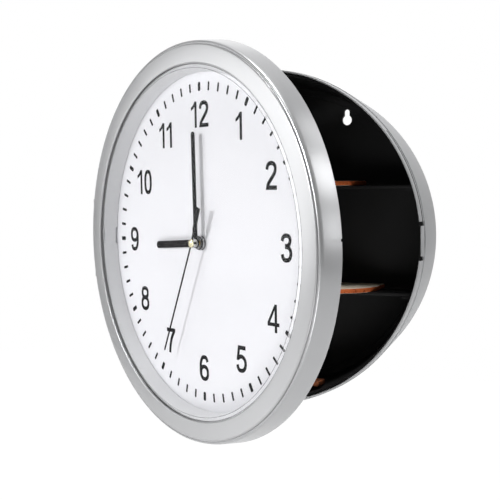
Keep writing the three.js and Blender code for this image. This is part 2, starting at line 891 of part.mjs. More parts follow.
piece(
  "dial_washer",
  revolve(
    [
      [bushRadius + fit, above(fit)],
      [washerRadius, above(fit)],
      [washerRadius, above(fit + washerThickness)],
      [bushRadius + fit, above(fit + washerThickness)],
    ],
    36,
  ),
  paint(0x1a1a1c, 0.4, 0.3),
  doorFrame,
);

function hexNut() {
  const outline = new THREE.Shape();
  const corner = nutAcross / 2 / Math.cos(Math.PI / 6);
  for (let i = 0; i < 6; i += 1) {
    const angle = (i + 0.5) * (Math.PI / 3);
    outline[i ? "lineTo" : "moveTo"](corner * Math.cos(angle), corner * Math.sin(angle));
  }
  const low = above(washerThickness + 2 * fit);
  const high = low - nutThickness;
  return cut(plate(outline, low, high), barY(bushRadius + fit, low + 1, high - 1));
}
piece("hex_nut", hexNut(), paint(0x17171a, 0.35, 0.6), doorFrame);

// Battery and its two contacts
function battery() {
  const half = batteryLength / 2;
  const body = barX(batteryRadius, -half, half, bayAxis, batteryHeight);
  const nub = barX(batteryNubRadius, half - 1, half + batteryNubLength, bayAxis, batteryHeight);
  return join(body, nub);
}
piece("battery", battery(), paint(0x3c4a3e, 0.4, 0.2), doorFrame);

// One contact plate across the battery bay, between two places along X
function contact(x0, x1) {
  const [deep, high] = contactSize;
  return box(
    x0,
    x1,
    bayAxis - deep / 2,
    bayAxis + deep / 2,
    batteryHeight - high / 2,
    batteryHeight + high / 2,
  );
}
const positiveFront = batteryLength / 2 + batteryNubLength + fit;
const negativeFront = -batteryLength / 2 - fit;
piece(
  "battery_contact_positive",
  contact(positiveFront, positiveFront + contactThickness),
  steel(),
  doorFrame,
);
piece(
  "battery_contact_negative",
  contact(negativeFront - contactThickness, negativeFront),
  steel(),
  doorFrame,
);

// Hands: flat blades that point to 12, then turned to their own angle about the dial's centre
function handFrame(angle) {
  const frame = new THREE.Group();
  frame.rotation.y = angle * degrees;
  doorFrame.add(frame);
  return frame;
}
const hourFrame = handFrame(hourAngle);
const minuteFrame = handFrame(minuteAngle);
const secondFrame = handFrame(secondAngle);

function blade(width, start, reach, height) {
  const outline = new THREE.Shape();
  const half = width / 2;
  outline.moveTo(-half, start);
  outline.lineTo(half, start);
  outline.lineTo(half, reach - half);
  outline.absarc(0, reach - half, half, 0, Math.PI);
  return plate(outline, above(height), above(height + handThickness), 8);
}

function tube(bore, outer, y0, y1) {
  return cut(barY(outer, y0, y1), barY(bore, Math.min(y0, y1) - 1, Math.max(y0, y1) + 1));
}

function hourHand() {
  const low = above(hourHandHeight);
  const high = above(hourHandHeight + handThickness);
  const hub = barY(hourHubRadius, low, high);
  const bore = barY(hourTubeRadius + fit, low + 1, high - 1);
  return cut(join(blade(hourHandWidth, 0, hourReach, hourHandHeight), hub), bore);
}
piece("hour_hand", hourHand(), paint(0x141416, 0.4), hourFrame);

// Hour wheel: its pipe passes through the bush and carries the hour hand
function hourWheel() {
  const first = 90 + hourAngle;
  const wheel = gear(hourWheelTeeth, first, hourWheelFront, hourWheelRear);
  const pipe = barY(hourTubeRadius, hourWheelRear, above(hourHandHeight + handThickness));
  const bore = barY(minuteArborRadius + fit, movementRear, above(hourHandHeight + 5));
  return cut(join(wheel, pipe), bore);
}
piece("hour_wheel", hourWheel(), brass(), hourFrame);

// Cannon pinion: the hollow arbor that carries the minute hand
function cannonPinion() {
  const front = above(minuteHandHeight + handThickness);
  const pinion = gear(cannonTeeth, 90 + minuteAngle, cannonFront, cannonRear);
  const arbor = barY(minuteArborRadius, coverFront - fit, front);
  const bore = barY(secondArborRadius + fit, movementRear, front - 1, 0, 0, 12);
  return cut(join(pinion, arbor), bore);
}
piece("cannon_pinion", cannonPinion(), brass(), minuteFrame);

function minuteHand() {
  const low = above(minuteHandHeight);
  const top = above(minuteHandHeight + handThickness + minuteBossHeight);
  const boss = barY(minuteBossRadius, low, top);
  const bore = barY(minuteArborRadius + fit, low + 1, top - 1);
  return cut(join(blade(minuteHandWidth, 0, minuteReach, minuteHandHeight), boss), bore);
}
piece("minute_hand", minuteHand(), paint(0x141416, 0.4), minuteFrame);

// Minute wheel with its own small pinion, on a stud above the centre
const minuteWheelFrame = new THREE.Group();
minuteWheelFrame.position.set(0, 0, gearSpacing);
doorFrame.add(minuteWheelFrame);

function minuteWheel() {
  const wheel = gear(minuteWheelTeeth, -90 + 180 / minuteWheelTeeth, cannonFront, cannonRear);
  const pinion = gear(
    minutePinionTeeth,
    -90 + 180 / minutePinionTeeth,
    hourWheelFront,
    cannonFront + 0.2,
  );
  const bore = barY(studRadius + fit, hourWheelFront - 1, cannonRear + 1, 0, 0, 12);
  return cut(join(wheel, pinion), bore);
}
piece("minute_wheel", minuteWheel(), brass(), minuteWheelFrame);

// Circuit board and coil in the movement
function circuitBoard() {
  const [x, z] = boardPcbPlace;
  const front = wallFloor + boardPcbRise;
  return box(
    x - boardPcbSize[0] / 2,
    x + boardPcbSize[0] / 2,
    front,
    front + boardPcbThickness,
    z - boardPcbSize[1] / 2,
    z + boardPcbSize[1] / 2,
  );
}
piece("circuit_board", circuitBoard(), paint(0x1d5a34, 0.5), doorFrame);

function driveCoil() {
  const [x, z] = coilPlace;
  const y = wallFloor + fit + coilFlange;
  const half = coilLength / 2;
  const inset = coilFlangeThickness / 2;
  const winding = barX(coilRadius, x - half + inset, x + half - inset, y, z, 16);
  const ends = [-1, 1].map((side) => {
    const outer = x + side * half;
    return barX(coilFlange, outer, outer - side * coilFlangeThickness, y, z, 16);
  });
  return join(winding, ...ends);
}
piece("drive_coil", driveCoil(), paint(0xa85a2a, 0.4, 0.5), doorFrame);

function secondHand() {
  const tail = new THREE.Shape();
  tail.moveTo(-secondTailWidth / 2, -secondTail);
  tail.lineTo(secondTailWidth / 2, -secondTail);
  tail.lineTo(secondTailNeck / 2, -secondTailStart);
  tail.lineTo(-secondTailNeck / 2, -secondTailStart);
  const weight = plate(tail, above(secondHandHeight), above(secondHandHeight + handThickness));
  const needle = blade(secondHandWidth, -secondTailStart - 1, secondReach, secondHandHeight);
  const arbor = barY(secondArborRadius, coverFront - fit, above(secondHandHeight), 0, 0, 12);
  return join(needle, weight, arbor);
}
piece("second_hand", secondHand(), paint(0x19191b, 0.4), secondFrame);

// Cap: the flat round brass button pressed on the second hand's hub
function handCap() {
  const base = above(secondHandHeight + handThickness + fit);
  const profile = [[0, base]];
  profile.push([capRadius, base]);
  const steps = 5;
  for (let i = 1; i < steps; i += 1) {
    const angle = (i / steps) * (Math.PI / 2);
    profile.push([capRadius * Math.cos(angle), base - capHeight * Math.sin(angle)]);
  }
  profile.push([0, base - capHeight]);
  return revolve(profile, 20);
}
piece("hand_cap", handCap(), brass(), secondFrame);

// Set knob at the rear, on the minute arbor
function setKnob() {
  const front = movementRear + fit;
  const rear = front + knobThickness;
  const wheel = new THREE.Shape();
  for (let i = 0; i < knobRibs * 2; i += 1) {
    const radius = i % 2 ? knobRadius : knobRadius - knobRibDepth;
    const angle = (i / (knobRibs * 2)) * Math.PI * 2;
    wheel[i ? "lineTo" : "moveTo"](radius * Math.cos(angle), radius * Math.sin(angle));
  }
  const stem = barY(knobHole - fit, coverFront, front + 1);
  return join(plate(wheel, front, rear), stem);
}
piece("set_knob", setKnob(), paint(0x0f0f10, 0.5), minuteFrame);

export default clock;
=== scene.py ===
# %% [markdown]
# # A wall clock with a hidden safe
# The real object is a round silver wall clock whose face swings open on a pin at 9 o'clock.
# Behind it hangs a round case with a black tub, two ledges and some loose boards.
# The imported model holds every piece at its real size. This script gives the pieces fine curved
# surfaces, soft edges, printed numbers and finishes, and then lights them.
# All sizes are typed in millimetres and scaled to metres in one place.

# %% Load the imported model
import json
import math

import bmesh
import bpy
from mathutils import Matrix, Vector
from mathutils.geometry import delaunay_2d_cdt


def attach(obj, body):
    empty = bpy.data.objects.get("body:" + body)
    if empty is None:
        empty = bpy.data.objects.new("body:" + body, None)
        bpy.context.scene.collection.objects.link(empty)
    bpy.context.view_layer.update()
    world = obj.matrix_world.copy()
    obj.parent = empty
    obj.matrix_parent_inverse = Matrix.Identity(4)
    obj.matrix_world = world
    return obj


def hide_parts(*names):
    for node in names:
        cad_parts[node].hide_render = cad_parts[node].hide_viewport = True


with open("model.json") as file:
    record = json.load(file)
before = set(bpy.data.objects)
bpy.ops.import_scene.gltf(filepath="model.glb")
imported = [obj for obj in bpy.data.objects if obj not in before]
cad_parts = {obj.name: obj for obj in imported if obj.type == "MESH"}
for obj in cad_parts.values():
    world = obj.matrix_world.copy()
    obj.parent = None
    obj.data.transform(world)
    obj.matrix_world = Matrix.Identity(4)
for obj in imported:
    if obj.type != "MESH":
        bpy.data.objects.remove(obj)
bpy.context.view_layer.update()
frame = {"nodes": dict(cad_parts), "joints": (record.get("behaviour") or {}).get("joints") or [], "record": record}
MM = 0.001

# %% [markdown]
# ## The camera
# The photograph was taken from the clock's right, a little above its centre, with a long lens.
# Its place was worked out from the ellipses of the ring, of the minute marks and of the case.
# A camera looks along its own -Z, so one turn points it and a second one rolls it.

# %% Camera
CAMERA_PLACE = Vector((0.26763, -0.67673, 0.03416))
CAMERA_AIM = Vector((0.02036, -0.11759, -0.00415))
CAMERA_ROLL = -0.897
FOCAL_LENGTH, SENSOR_WIDTH = 71.04, 36

camera = bpy.data.objects.new("camera", bpy.data.cameras.new("camera"))
camera.data.lens = FOCAL_LENGTH
camera.data.sensor_width = SENSOR_WIDTH
turn = (CAMERA_AIM - CAMERA_PLACE).to_track_quat("-Z", "Y").to_matrix().to_4x4()
roll = Matrix.Rotation(math.radians(CAMERA_ROLL), 4, "Z")
camera.matrix_world = Matrix.Translation(CAMERA_PLACE) @ turn @ roll
bpy.context.scene.collection.objects.link(camera)
bpy.context.scene.camera = camera
print("camera to dial:", round((CAMERA_AIM - CAMERA_PLACE).length, 3), "m")

# %% [markdown]
# ## The swing of the door
# Everything on the door is easiest to draw while the door is shut, when it shares the case's axis.
# One matrix then turns the finished piece about the hinge pin, by the angle the model says.

# %% The hinge's matrix
hinge = next(j for j in frame["joints"] if j["name"] == "door_hinge")
OPEN_ANGLE = math.radians(-hinge["range_deg"][0])
PIN = Vector(hinge["pos_m"])
SWING = (
    Matrix.Translation(PIN) @ Matrix.Rotation(-OPEN_ANGLE, 4, "Z") @ Matrix.Translation(-PIN)
)
DIAL_FACE = -59.1
print("door open by", round(math.degrees(OPEN_ANGLE), 1), "degrees")


def above(height):
    """The depth of a point that many millimetres in front of the dial, door shut."""
    return DIAL_FACE - height


def clock_turn(degrees):
    """A clockwise turn about the clock's axis, seen from the front."""
    return Matrix.Rotation(math.radians(degrees), 4, "Y")


# %% [markdown]
# ## A small language for shaders
# A finish is a tree of nodes. Written node by node it is long and hard to read, so one class
# wraps a socket and lets Python's + - * build the Math nodes, and one method adds any other node.

# %% Sockets that do arithmetic
class Port:
    """One output of a node. Arithmetic on it adds Math nodes to its tree."""

    def __init__(self, tree, socket):
        self.tree = tree
        self.socket = socket

    def math(self, operation, first, second):
        node = self.tree.nodes.new("ShaderNodeMath")
        node.operation = operation
        feed(self.tree, node.inputs[0], first)
        feed(self.tree, node.inputs[1], second)
        return Port(self.tree, node.outputs[0])

    def __add__(self, other):
        return self.math("ADD", self, other)

    def __radd__(self, other):
        return self.math("ADD", other, self)

    def __sub__(self, other):
        return self.math("SUBTRACT", self, other)

    def __rsub__(self, other):
        return self.math("SUBTRACT", other, self)

    def __mul__(self, other):
        return self.math("MULTIPLY", self, other)

    def __rmul__(self, other):
        return self.math("MULTIPLY", other, self)

    def above(self, level):
        return self.math("GREATER_THAN", self, level)


def feed(tree, socket, value):
    """Links a port to a socket, or writes a plain value on it."""
    if isinstance(value, Port):
        tree.links.new(value.socket, socket)
    elif hasattr(socket.default_value, "__len__") and not hasattr(value, "__len__"):
        socket.default_value = [value] * len(socket.default_value)
    elif hasattr(value, "__len__") and len(value) == 3 and len(socket.default_value) == 4:
        socket.default_value = (*value, 1)
    else:
        socket.default_value = value


class Finish:
    """A material under construction, or the world where that is given as its owner."""

    def __init__(self, name, owner=None):
        self.material = owner or bpy.data.materials.new(name)
        self.material.use_nodes = True
        self.tree = self.material.node_tree
        self.tree.nodes.clear()
        self.place = self.node("ShaderNodeTexCoord", out="Generated" if owner else "Object")

    def node(self, kind, inputs=None, settings=None, out=0):
        """Adds a node: its settings first, then its sockets. Returns one of its outputs."""
        node = self.tree.nodes.new(kind)
        for key, value in (settings or {}).items():
            setattr(node, key, value)
        for key, value in (inputs or {}).items():
            feed(self.tree, node.inputs[key], value)
        return Port(self.tree, node.outputs[out]) if node.outputs else None

    def noise(self, size_mm, detail=2, stretch=None):
        """Cloudy noise between 0 and 1, with features of about that size."""
        place = self.place
        if stretch:
            factors = {0: place, 1: stretch}
            place = self.node("ShaderNodeVectorMath", factors, {"operation": "MULTIPLY"})
        inputs = {"Vector": place, "Scale": 1 / (size_mm * MM), "Detail": detail}
        return self.node("ShaderNodeTexNoise", inputs)

    def part(self, vector, axis):
        """One coordinate of a vector."""
        return self.node("ShaderNodeSeparateXYZ", {"Vector": vector}, out=axis)

    def fade(self, value, low, high, first, last):
        """Goes from first to last while a value goes from low to high."""
        return self.node("ShaderNodeMapRange", {0: value, 1: low, 2: high, 3: first, 4: last})

    def blend(self, factor, first, second):
        """Mixes two colours."""
        colours = {0: factor, 6: first, 7: second}
        return self.node("ShaderNodeMix", colours, {"data_type": "RGBA"}, out=2)

    def bump(self, height, depth_mm, strength=1.0):
        return self.node(
            "ShaderNodeBump", {"Height": height, "Distance": depth_mm * MM, "Strength": strength}
        )

    def surface(self, shine=0.5, **values):
        """Ends the tree in a Principled shader. Underscores stand for spaces in socket names."""
        inputs = {key.replace("_", " "): value for key, value in values.items()}
        inputs["Specular IOR Level"] = shine
        shader = self.node("ShaderNodeBsdfPrincipled", inputs)
        self.node("ShaderNodeOutputMaterial", {"Surface": shader})
        return self.material


def mottled(name, first, second, cloud, grain, rough, vary, bump=None, **more):
    """A colour clouded between two, with roughness from a second noise, which may be bumpy too.

    Cloud and grain are each a size in millimetres and a detail.
    """
    f = Finish(name)
    colour = f.blend(f.noise(*cloud), first, second)
    grain = f.noise(*grain)
    if bump:
        more["Normal"] = f.bump(grain, *bump)
    return f.surface(Base_Color=colour, Roughness=rough + grain * vary, **more)


# %% [markdown]
# ## Silver lacquer
# The ring and the case are moulded plastic, sprayed with a satin silver lacquer. Fine flakes
# scatter the light, so the ring lies between a metal and a paint, and the case's duller coat is
# nearly all paint. A very fine noise in colour and height gives the flakes, and a slow one the
# slight unevenness of a sprayed coat.

# %% Silver lacquer
def silver_lacquer(name, shade, metal, roughness, shine):
    f = Finish(name)
    flakes = f.noise(0.35, detail=1)
    coat = f.noise(40, detail=3)
    thin, thick, flake = (
        [shade * part for part in tint]
        for tint in ((0.96, 0.965, 0.985), (1.02, 1.03, 1.05), (1.24, 1.25, 1.27))
    )
    tone = f.blend(coat, thin, thick)
    return f.surface(
        Base_Color=f.blend(flakes * 0.35, tone, flake),
        Metallic=metal,
        Roughness=roughness + coat * 0.06,
        shine=shine,
        Normal=f.bump(flakes, 0.01, 0.5),
    )


SILVER = silver_lacquer("silver_lacquer", shade=0.40, metal=0.62, roughness=0.28, shine=0.5)
CASE_SILVER = silver_lacquer(
    "case_silver_lacquer", shade=0.40, metal=0.03, roughness=0.55, shine=0.08
)
print("silver:", SILVER.name, CASE_SILVER.name)

# %% [markdown]
# ## Black mouldings
# The tub, the ledges, the back plate and the movement are black plastic with a faint grain.
# Black plastic shows its shape by its sheen alone, so roughness and grain matter, not colour.

# %% Black mouldings
def black_moulding(name, shade=0.006, roughness=0.5, grain_mm=0.6):
    deep, lit = (shade,) * 3, (shade * 1.5, shade * 1.5, shade * 1.6)
    grain, bump = (grain_mm, 2), (0.03, 0.4)
    return mottled(name, deep, lit, (25, 2), grain, roughness, 0.1, bump, shine=0.25)


BLACK = black_moulding("black_moulding")
MOVEMENT_BLACK = black_moulding("movement_black", shade=0.012, roughness=0.35, grain_mm=0.9)
print("black:", BLACK.name, MOVEMENT_BLACK.name)

# %% [markdown]
# ## Boards
# The loose boards are thin fibreboard with a cream face. The cutting beam has browned the
# edge to a burnt orange, darker in short streaks across the thickness.

# %% Boards
def board_face():
    f = Finish("board_cream_face")
    fibre = f.noise(1.6, detail=4, stretch=(0.35, 1, 1))
    cloud = f.noise(18)
    colour = f.blend(fibre * 0.6 + cloud * 0.3, (0.80, 0.72, 0.60), (0.62, 0.51, 0.38))
    return f.surface(Base_Color=colour, Roughness=0.6 + fibre * 0.15, Normal=f.bump(fibre, 0.02))


def board_edge(name, light, dark, spot):
    f = Finish(name)
    streak = f.noise(1.2, detail=3, stretch=(1, 1, 0.25))
    cloud = f.noise(9)
    char = f.noise(6, detail=3).above(0.6)
    colour = f.blend(streak * 0.7, light, dark)
    colour = f.blend(cloud * 0.3, colour, spot)
    colour = f.blend(char * 0.7, colour, spot)
    return f.surface(shine=0.15, Base_Color=colour, Roughness=0.7, Normal=f.bump(streak, 0.04))


BOARD_FACE = board_face()
BOARD_EDGE = board_edge(
    "board_edge", light=(0.86, 0.21, 0.06), dark=(0.40, 0.07, 0.02), spot=(0.25, 0.05, 0.015)
)
# A darker copy of the browned edge for the strip in the bottom: browning with painted shade.
STRIP_BROWN_PAINTED_SHADE = board_edge(
    "strip_brown_painted_shade", light=(0.42, 0.13, 0.05), dark=(0.16, 0.05, 0.02), spot=(0.03, 0.015, 0.01)
)
print("boards:", BOARD_FACE.name, BOARD_EDGE.name, STRIP_BROWN_PAINTED_SHADE.name)

# %% [markdown]
# ## Dial, print and lens
# The dial is a white sheet with a dull coat, printed in black. The lens is a clear sheet. A clear sheet is drawn
# best as almost nothing: a low alpha leaves the dial's light alone, and the polished surface still catches the
# lamps. The bevel round the lens is clear too, except beside 3 o'clock, where a whitish glare is painted on it:
# painted glare for the light that the bevel bends and reflects there, as the real bevel looks. The fine edges of
# the bevel are painted dark grey, as painted shade for the dark lines they show.

# %% Dial, print and lens
def clear_sheet(name, shade, alpha, roughness=0.03):
    dim, bright = (shade * 0.96,) * 3, (shade, shade, shade * 1.02)
    return mottled(name, dim, bright, (30, 2), (30, 2), roughness, 0.03, Alpha=alpha)


# Where the painted glare lies on the bevel: right of the middle, and round a height above it.
GLARE_TO = 30
GLARE_HEIGHT, GLARE_HALF, GLARE_END = 14, 50, 75


def frosted_bevel():
    """Clear round most of the lens, with a painted whitish glare beside 3 o'clock that hides the marks."""
    f = Finish("lens_bevel_glare_painted")
    right = f.fade(f.part(f.place, "X"), 0, GLARE_TO * MM, 0, 1)
    height = f.part(f.place, "Z") - GLARE_HEIGHT * MM
    away = f.node("ShaderNodeMath", {0: height}, {"operation": "ABSOLUTE"})
    painted_glare = right * f.fade(away, GLARE_HALF * MM, GLARE_END * MM, 1, 0)
    colour = f.blend(painted_glare, (0.5, 0.5, 0.51), (0.9, 0.9, 0.93))
    return f.surface(Base_Color=colour, Roughness=0.3, Alpha=0.14 + painted_glare * 0.7)


DIAL_WHITE = mottled(
    "white_dial", (0.89, 0.89, 0.93), (0.91, 0.91, 0.945), (60, 2), (0.5, 1), 0.55, 0.05,
    shine=0.3,
)
INK = mottled(
    "print_ink", (0.010, 0.010, 0.011), (0.018, 0.018, 0.020), (1.5, 3), (1.5, 3), 0.6, 0.1,
    shine=0.08,
)
LENS_CLEAR = clear_sheet("lens_clear", shade=0.05, alpha=0.05)
# The bevel carries a painted glare beside 3 o'clock.
LENS_BEVEL = frosted_bevel()
# The fine edges of the bevel: a dark grey, painted shade.
LENS_EDGE_SHADE = clear_sheet("lens_edge_painted_shade", shade=0.12, alpha=0.55, roughness=0.3)
print("finishes so far:", len(bpy.data.materials))

# %% [markdown]
# ## Small metal, rubber and plastic parts
# The hands are black lacquered sheet, the hub's cap and the gears are brass, and the pin,
# screws and battery contacts are steel. Each of these takes a fine scratch in its roughness.
# The sloping ring's grey plastic, rubber, copper, a green board and a printed jacket come last.

# %% Small finishes
def worn_metal(name, colour, roughness, metallic=1.0, shine=0.5):
    f = Finish(name)
    scratch = f.noise(0.8, detail=4)
    cloud = f.noise(8)
    dark = tuple(c * 0.8 for c in colour)
    return f.surface(
        Base_Color=f.blend(cloud * 0.6, colour, dark),
        Metallic=metallic,
        Roughness=roughness + scratch * 0.15,
        shine=shine,
        Normal=f.bump(scratch, 0.01, 0.3),
    )


def copper_winding():
    f = Finish("copper_winding")
    turns = f.node(
        "ShaderNodeTexWave",
        {"Vector": f.place, "Scale": 900, "Distortion": 0.4},
        {"wave_type": "BANDS", "bands_direction": "X"},
        out="Fac",
    )
    colour = f.blend(turns, (0.25, 0.08, 0.03), (0.62, 0.26, 0.10))
    return f.surface(Base_Color=colour, Metallic=0.7, Roughness=0.3, Normal=f.bump(turns, 0.05))


def green_board():
    f = Finish("green_board")
    track = f.noise(2.2, detail=0).above(0.55)
    colour = f.blend(track, (0.012, 0.10, 0.04), (0.02, 0.17, 0.07))
    return f.surface(Base_Color=colour, Roughness=0.3 + track * 0.1, Normal=f.bump(track, 0.03))


HAND_BLACK = worn_metal("hand_black", (0.008, 0.008, 0.009), 0.45, metallic=0.0, shine=0.08)
NUT_BLACK = worn_metal("nut_black", (0.06, 0.06, 0.065), 0.3, metallic=0.8)
BRASS = worn_metal("brass", (0.72, 0.50, 0.20), 0.22)
PALE_BRASS = worn_metal("pale_brass", (0.80, 0.74, 0.50), 0.2)
STEEL = worn_metal("steel", (0.56, 0.56, 0.58), 0.25)
REFLECTOR = mottled(
    "reflector_grey", (0.60, 0.605, 0.62), (0.66, 0.665, 0.68), (30, 2), (30, 2), 0.5, 0.06,
    shine=0.3,
)
RUBBER = mottled(
    "soft_rubber", (0.012,) * 3, (0.022,) * 3, (0.4, 2), (0.4, 2), 0.8, 0.1, (0.02, 1)
)
COPPER = copper_winding()
GREEN = green_board()
BATTERY = mottled(
    "battery_jacket", (0.03, 0.045, 0.04), (0.05, 0.07, 0.06), (12, 2), (12, 2), 0.25, 0,
    Metallic=0.3,
)
print("finishes in all:", len(bpy.data.materials))

# %% [markdown]
# ## Building blocks
# Most pieces of this object are turned shapes: rings, discs and a dished tub. A profile turned
# about the clock's axis makes them, and a small arc at each corner of the profile catches the
# light as a real moulded edge does. Notches are cut afterwards with exact booleans.

# %% Building blocks
CORNER_STEPS, CORNER_SHARE, SMALLEST_CORNER = 4, 0.45, 0.02
SHARP_ANGLE = 32
MERGE_DISTANCE = 1e-4


def soften(profile):
    """Replaces each (radius, y, fillet) corner with a small curve."""
    out = []
    for i, (r, y, fillet) in enumerate(profile):
        here = Vector((r, y))
        before = Vector(profile[i - 1][:2]) - here
        after = Vector(profile[(i + 1) % len(profile)][:2]) - here
        reach = min(fillet, before.length * CORNER_SHARE, after.length * CORNER_SHARE)
        if reach < SMALLEST_CORNER:
            out.append(here)
            continue
        start, end = here + before.normalized() * reach, here + after.normalized() * reach
        for k in range(CORNER_STEPS + 1):
            t = k / CORNER_STEPS
            out.append(start * (1 - t) ** 2 + here * 2 * t * (1 - t) + end * t**2)
    return out


def mesh_object(name, bm):
    """Makes an object from a bmesh drawn in millimetres."""
    bmesh.ops.remove_doubles(bm, verts=bm.verts, dist=MERGE_DISTANCE)
    bmesh.ops.recalc_face_normals(bm, faces=bm.faces)
    mesh = bpy.data.meshes.new(name)
    bm.to_mesh(mesh)
    bm.free()
    mesh.transform(Matrix.Scale(MM, 4))
    piece = bpy.data.objects.new(name, mesh)
    bpy.context.scene.collection.objects.link(piece)
    return piece


def lathe(name, profile, segments=240):
    """Turns a closed profile of (radius, y, fillet) corners about the clock's axis."""
    points = soften(profile)
    bm = bmesh.new()
    rings = []
    for k in range(segments):
        angle = 2 * math.pi * k / segments
        x, z = math.sin(angle), math.cos(angle)
        rings.append([bm.verts.new((p.x * x, p.y, p.x * z)) for p in points])
    for k in range(segments):
        here, there = rings[k], rings[(k + 1) % segments]
        for i in range(len(points)):
            j = (i + 1) % len(points)
            if max(points[i].x, points[j].x) > 1e-6:
                bm.faces.new((here[i], here[j], there[j], there[i]))
    bmesh.ops.remove_doubles(bm, verts=bm.verts, dist=MERGE_DISTANCE)
    flat = [f for f in bm.faces if f.calc_area() < 1e-9]
    bmesh.ops.delete(bm, geom=flat, context="FACES")
    return mesh_object(name, bm)


def block(name, x, y, z):
    """A box between two values on each axis."""
    bm = bmesh.new()
    bmesh.ops.create_cube(bm, size=1)
    for v in bm.verts:
        v.co = [max(ends) if c > 0 else min(ends) for c, ends in zip(v.co, (x, y, z))]
    return mesh_object(name, bm)


def bar(name, radius, axis, low, high, centre, segments=64):
    """A round bar along an axis between two places."""
    bm = bmesh.new()
    bmesh.ops.create_cone(
        bm, segments=segments, radius1=radius, radius2=radius, depth=high - low, cap_ends=True
    )
    middle = (low + high) / 2
    if axis == "Y":
        bmesh.ops.rotate(bm, verts=bm.verts, matrix=Matrix.Rotation(math.pi / 2, 3, "X"))
        place = (centre[0], middle, centre[1])
    else:
        place = (centre[0], centre[1], middle)
    bmesh.ops.translate(bm, verts=bm.verts, vec=place)
    return mesh_object(name, bm)


def bevel(bm, edges, width):
    """Takes the sharpness off edges, in two small steps."""
    bmesh.ops.bevel(
        bm, geom=edges, offset=width, offset_type="OFFSET", segments=2, profile=0.5,
        affect="EDGES", clamp_overlap=True,
    )


def slab(name, outline, axis, low, high, edge):
    """An outline stretched along Y or Z, with a small round edge on both of its faces."""
    bm = bmesh.new()
    caps = []
    for depth in (low, high):
        places = [(a, depth, b) if axis == "Y" else (a, b, depth) for a, b in outline]
        caps.append(bm.faces.new([bm.verts.new(p) for p in places]))
    rims = [[loop.vert for loop in cap.loops] for cap in caps]
    for i in range(len(outline)):
        j = (i + 1) % len(outline)
        bm.faces.new((rims[0][i], rims[0][j], rims[1][j], rims[1][i]))
    bmesh.ops.recalc_face_normals(bm, faces=bm.faces)
    if edge:
        bevel(bm, [e for cap in caps for e in cap.edges], edge)
    return mesh_object(name, bm)


def corner_arc(x, y, radius, first, last, steps=14):
    """Points on an arc about a centre, between two angles in degrees."""
    out = []
    for k in range(steps + 1):
        a = math.radians(first + (last - first) * k / steps)
        out.append((x + radius * math.cos(a), y + radius * math.sin(a)))
    return out


def combine(piece, others, operation):
    """Joins others to a piece, cuts them out of it, or keeps what they share with it."""
    for other in others:
        step = piece.modifiers.new("combine", "BOOLEAN")
        step.operation = operation
        step.solver = "EXACT"
        step.object = other
    bpy.context.view_layer.update()
    graph = bpy.context.evaluated_depsgraph_get()
    made = bpy.data.meshes.new_from_object(piece.evaluated_get(graph))
    piece.modifiers.clear()
    piece.data = made
    for other in others:
        bpy.data.objects.remove(other)
    return piece


def fit(piece, finish, body, replaced=(), turn=None, pick=None):
    """Gives a piece its finish, its place, its body and the nodes that it stands for.

    Where finish is a list, pick says which of them a face takes from its centre and normal.
    The piece is shaded smoothly, except where it turns by more than the sharp angle.
    """
    piece.data.materials.clear()
    for each in finish if isinstance(finish, list) else [finish]:
        piece.data.materials.append(each)
    for face in piece.data.polygons:
        face.material_index = pick(face.center / MM, face.normal) if pick else 0
        face.use_smooth = True
    if turn is not None:
        piece.data.transform(turn)
    piece.data.set_sharp_from_angle(angle=math.radians(SHARP_ANGLE))
    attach(piece, body)
    if replaced:
        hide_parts(*replaced)
    return piece


print("corners are drawn in", CORNER_STEPS, "steps")

# %% [markdown]
# ## The door ring
# The ring is one moulding: a skirt that slips over the case's collar, a crowned face, a lip in
# front of the lens, and an inner wall round the dial. It carries the hinge's two outer knuckles
# and, at 3 o'clock, the keeper that the latch hooks behind. The skirt is cut away by the hinge,
# and has a small notch just above the keeper.

# %% Door ring
SKIRT_REAR = -55.1
PIN_X, PIN_Y = -119.5, -63.5
KNUCKLE_RADIUS, KNUCKLE_BORE = 2.8, 1.5
DOOR_KNUCKLE = (18.3, 27.8)
LATCH_HEIGHT = -1.3
KEEPER_HALF = 5


def knuckle(low, high):
    """A hinge knuckle between two heights, and the cutter of its bore."""
    pin = (PIN_X, PIN_Y)
    bore = bar("bore", KNUCKLE_BORE, "Z", low - 1, high + 1, pin)
    return bar("knuckle", KNUCKLE_RADIUS, "Z", low, high, pin), bore


def door_ring():
    profile = [
        (127.0, SKIRT_REAR, 0.4), (125.8, -67.7, 0.8), (125.3, -69.4, 0.6),
        (124.2, -69.7, 0.12), (124.15, -69.2, 0.1), (123.65, -69.2, 0.1),
        (123.6, -69.95, 0.15), (122.9, -70.35, 0.6), (112.3, -70.95, 0.3),
        (111.7, -70.4, 0.2), (111.7, -70.2, 0), (113.6, -70.2, 0), (113.6, -60.6, 0.2),
        (115.4, -60.6, 0.4), (115.4, -68.1, 0.8), (122.7, -68.1, 0.6),
        (123.7, -67.1, 0.6), (124.9, SKIRT_REAR, 0.3),
    ]
    ring = lathe("ring", profile, 288)
    relief = block("relief", (-130, -114.2), (-63.1, -50), (-36, 36))
    notch = block("notch", (123.9, 130), (-56.0, -50), (4.8, 6.4))
    combine(ring, [relief, notch], "DIFFERENCE")
    keeper_height = (LATCH_HEIGHT - KEEPER_HALF, LATCH_HEIGHT + KEEPER_HALF)
    added = [block("keeper", (114.9, 125.9), (-56.8, -55.4), keeper_height)]
    holes = []
    for side in (-1, 1):
        low, high = sorted(side * end for end in DOOR_KNUCKLE)
        web_width = (PIN_X - KNUCKLE_RADIUS, PIN_X + KNUCKLE_RADIUS)
        web = block("web", web_width, (-69.7, PIN_Y), (low, high))
        sleeve, bore = knuckle(low, high)
        added += [web, sleeve]
        holes.append(bore)
    combine(ring, added, "UNION")
    return combine(ring, holes, "DIFFERENCE")


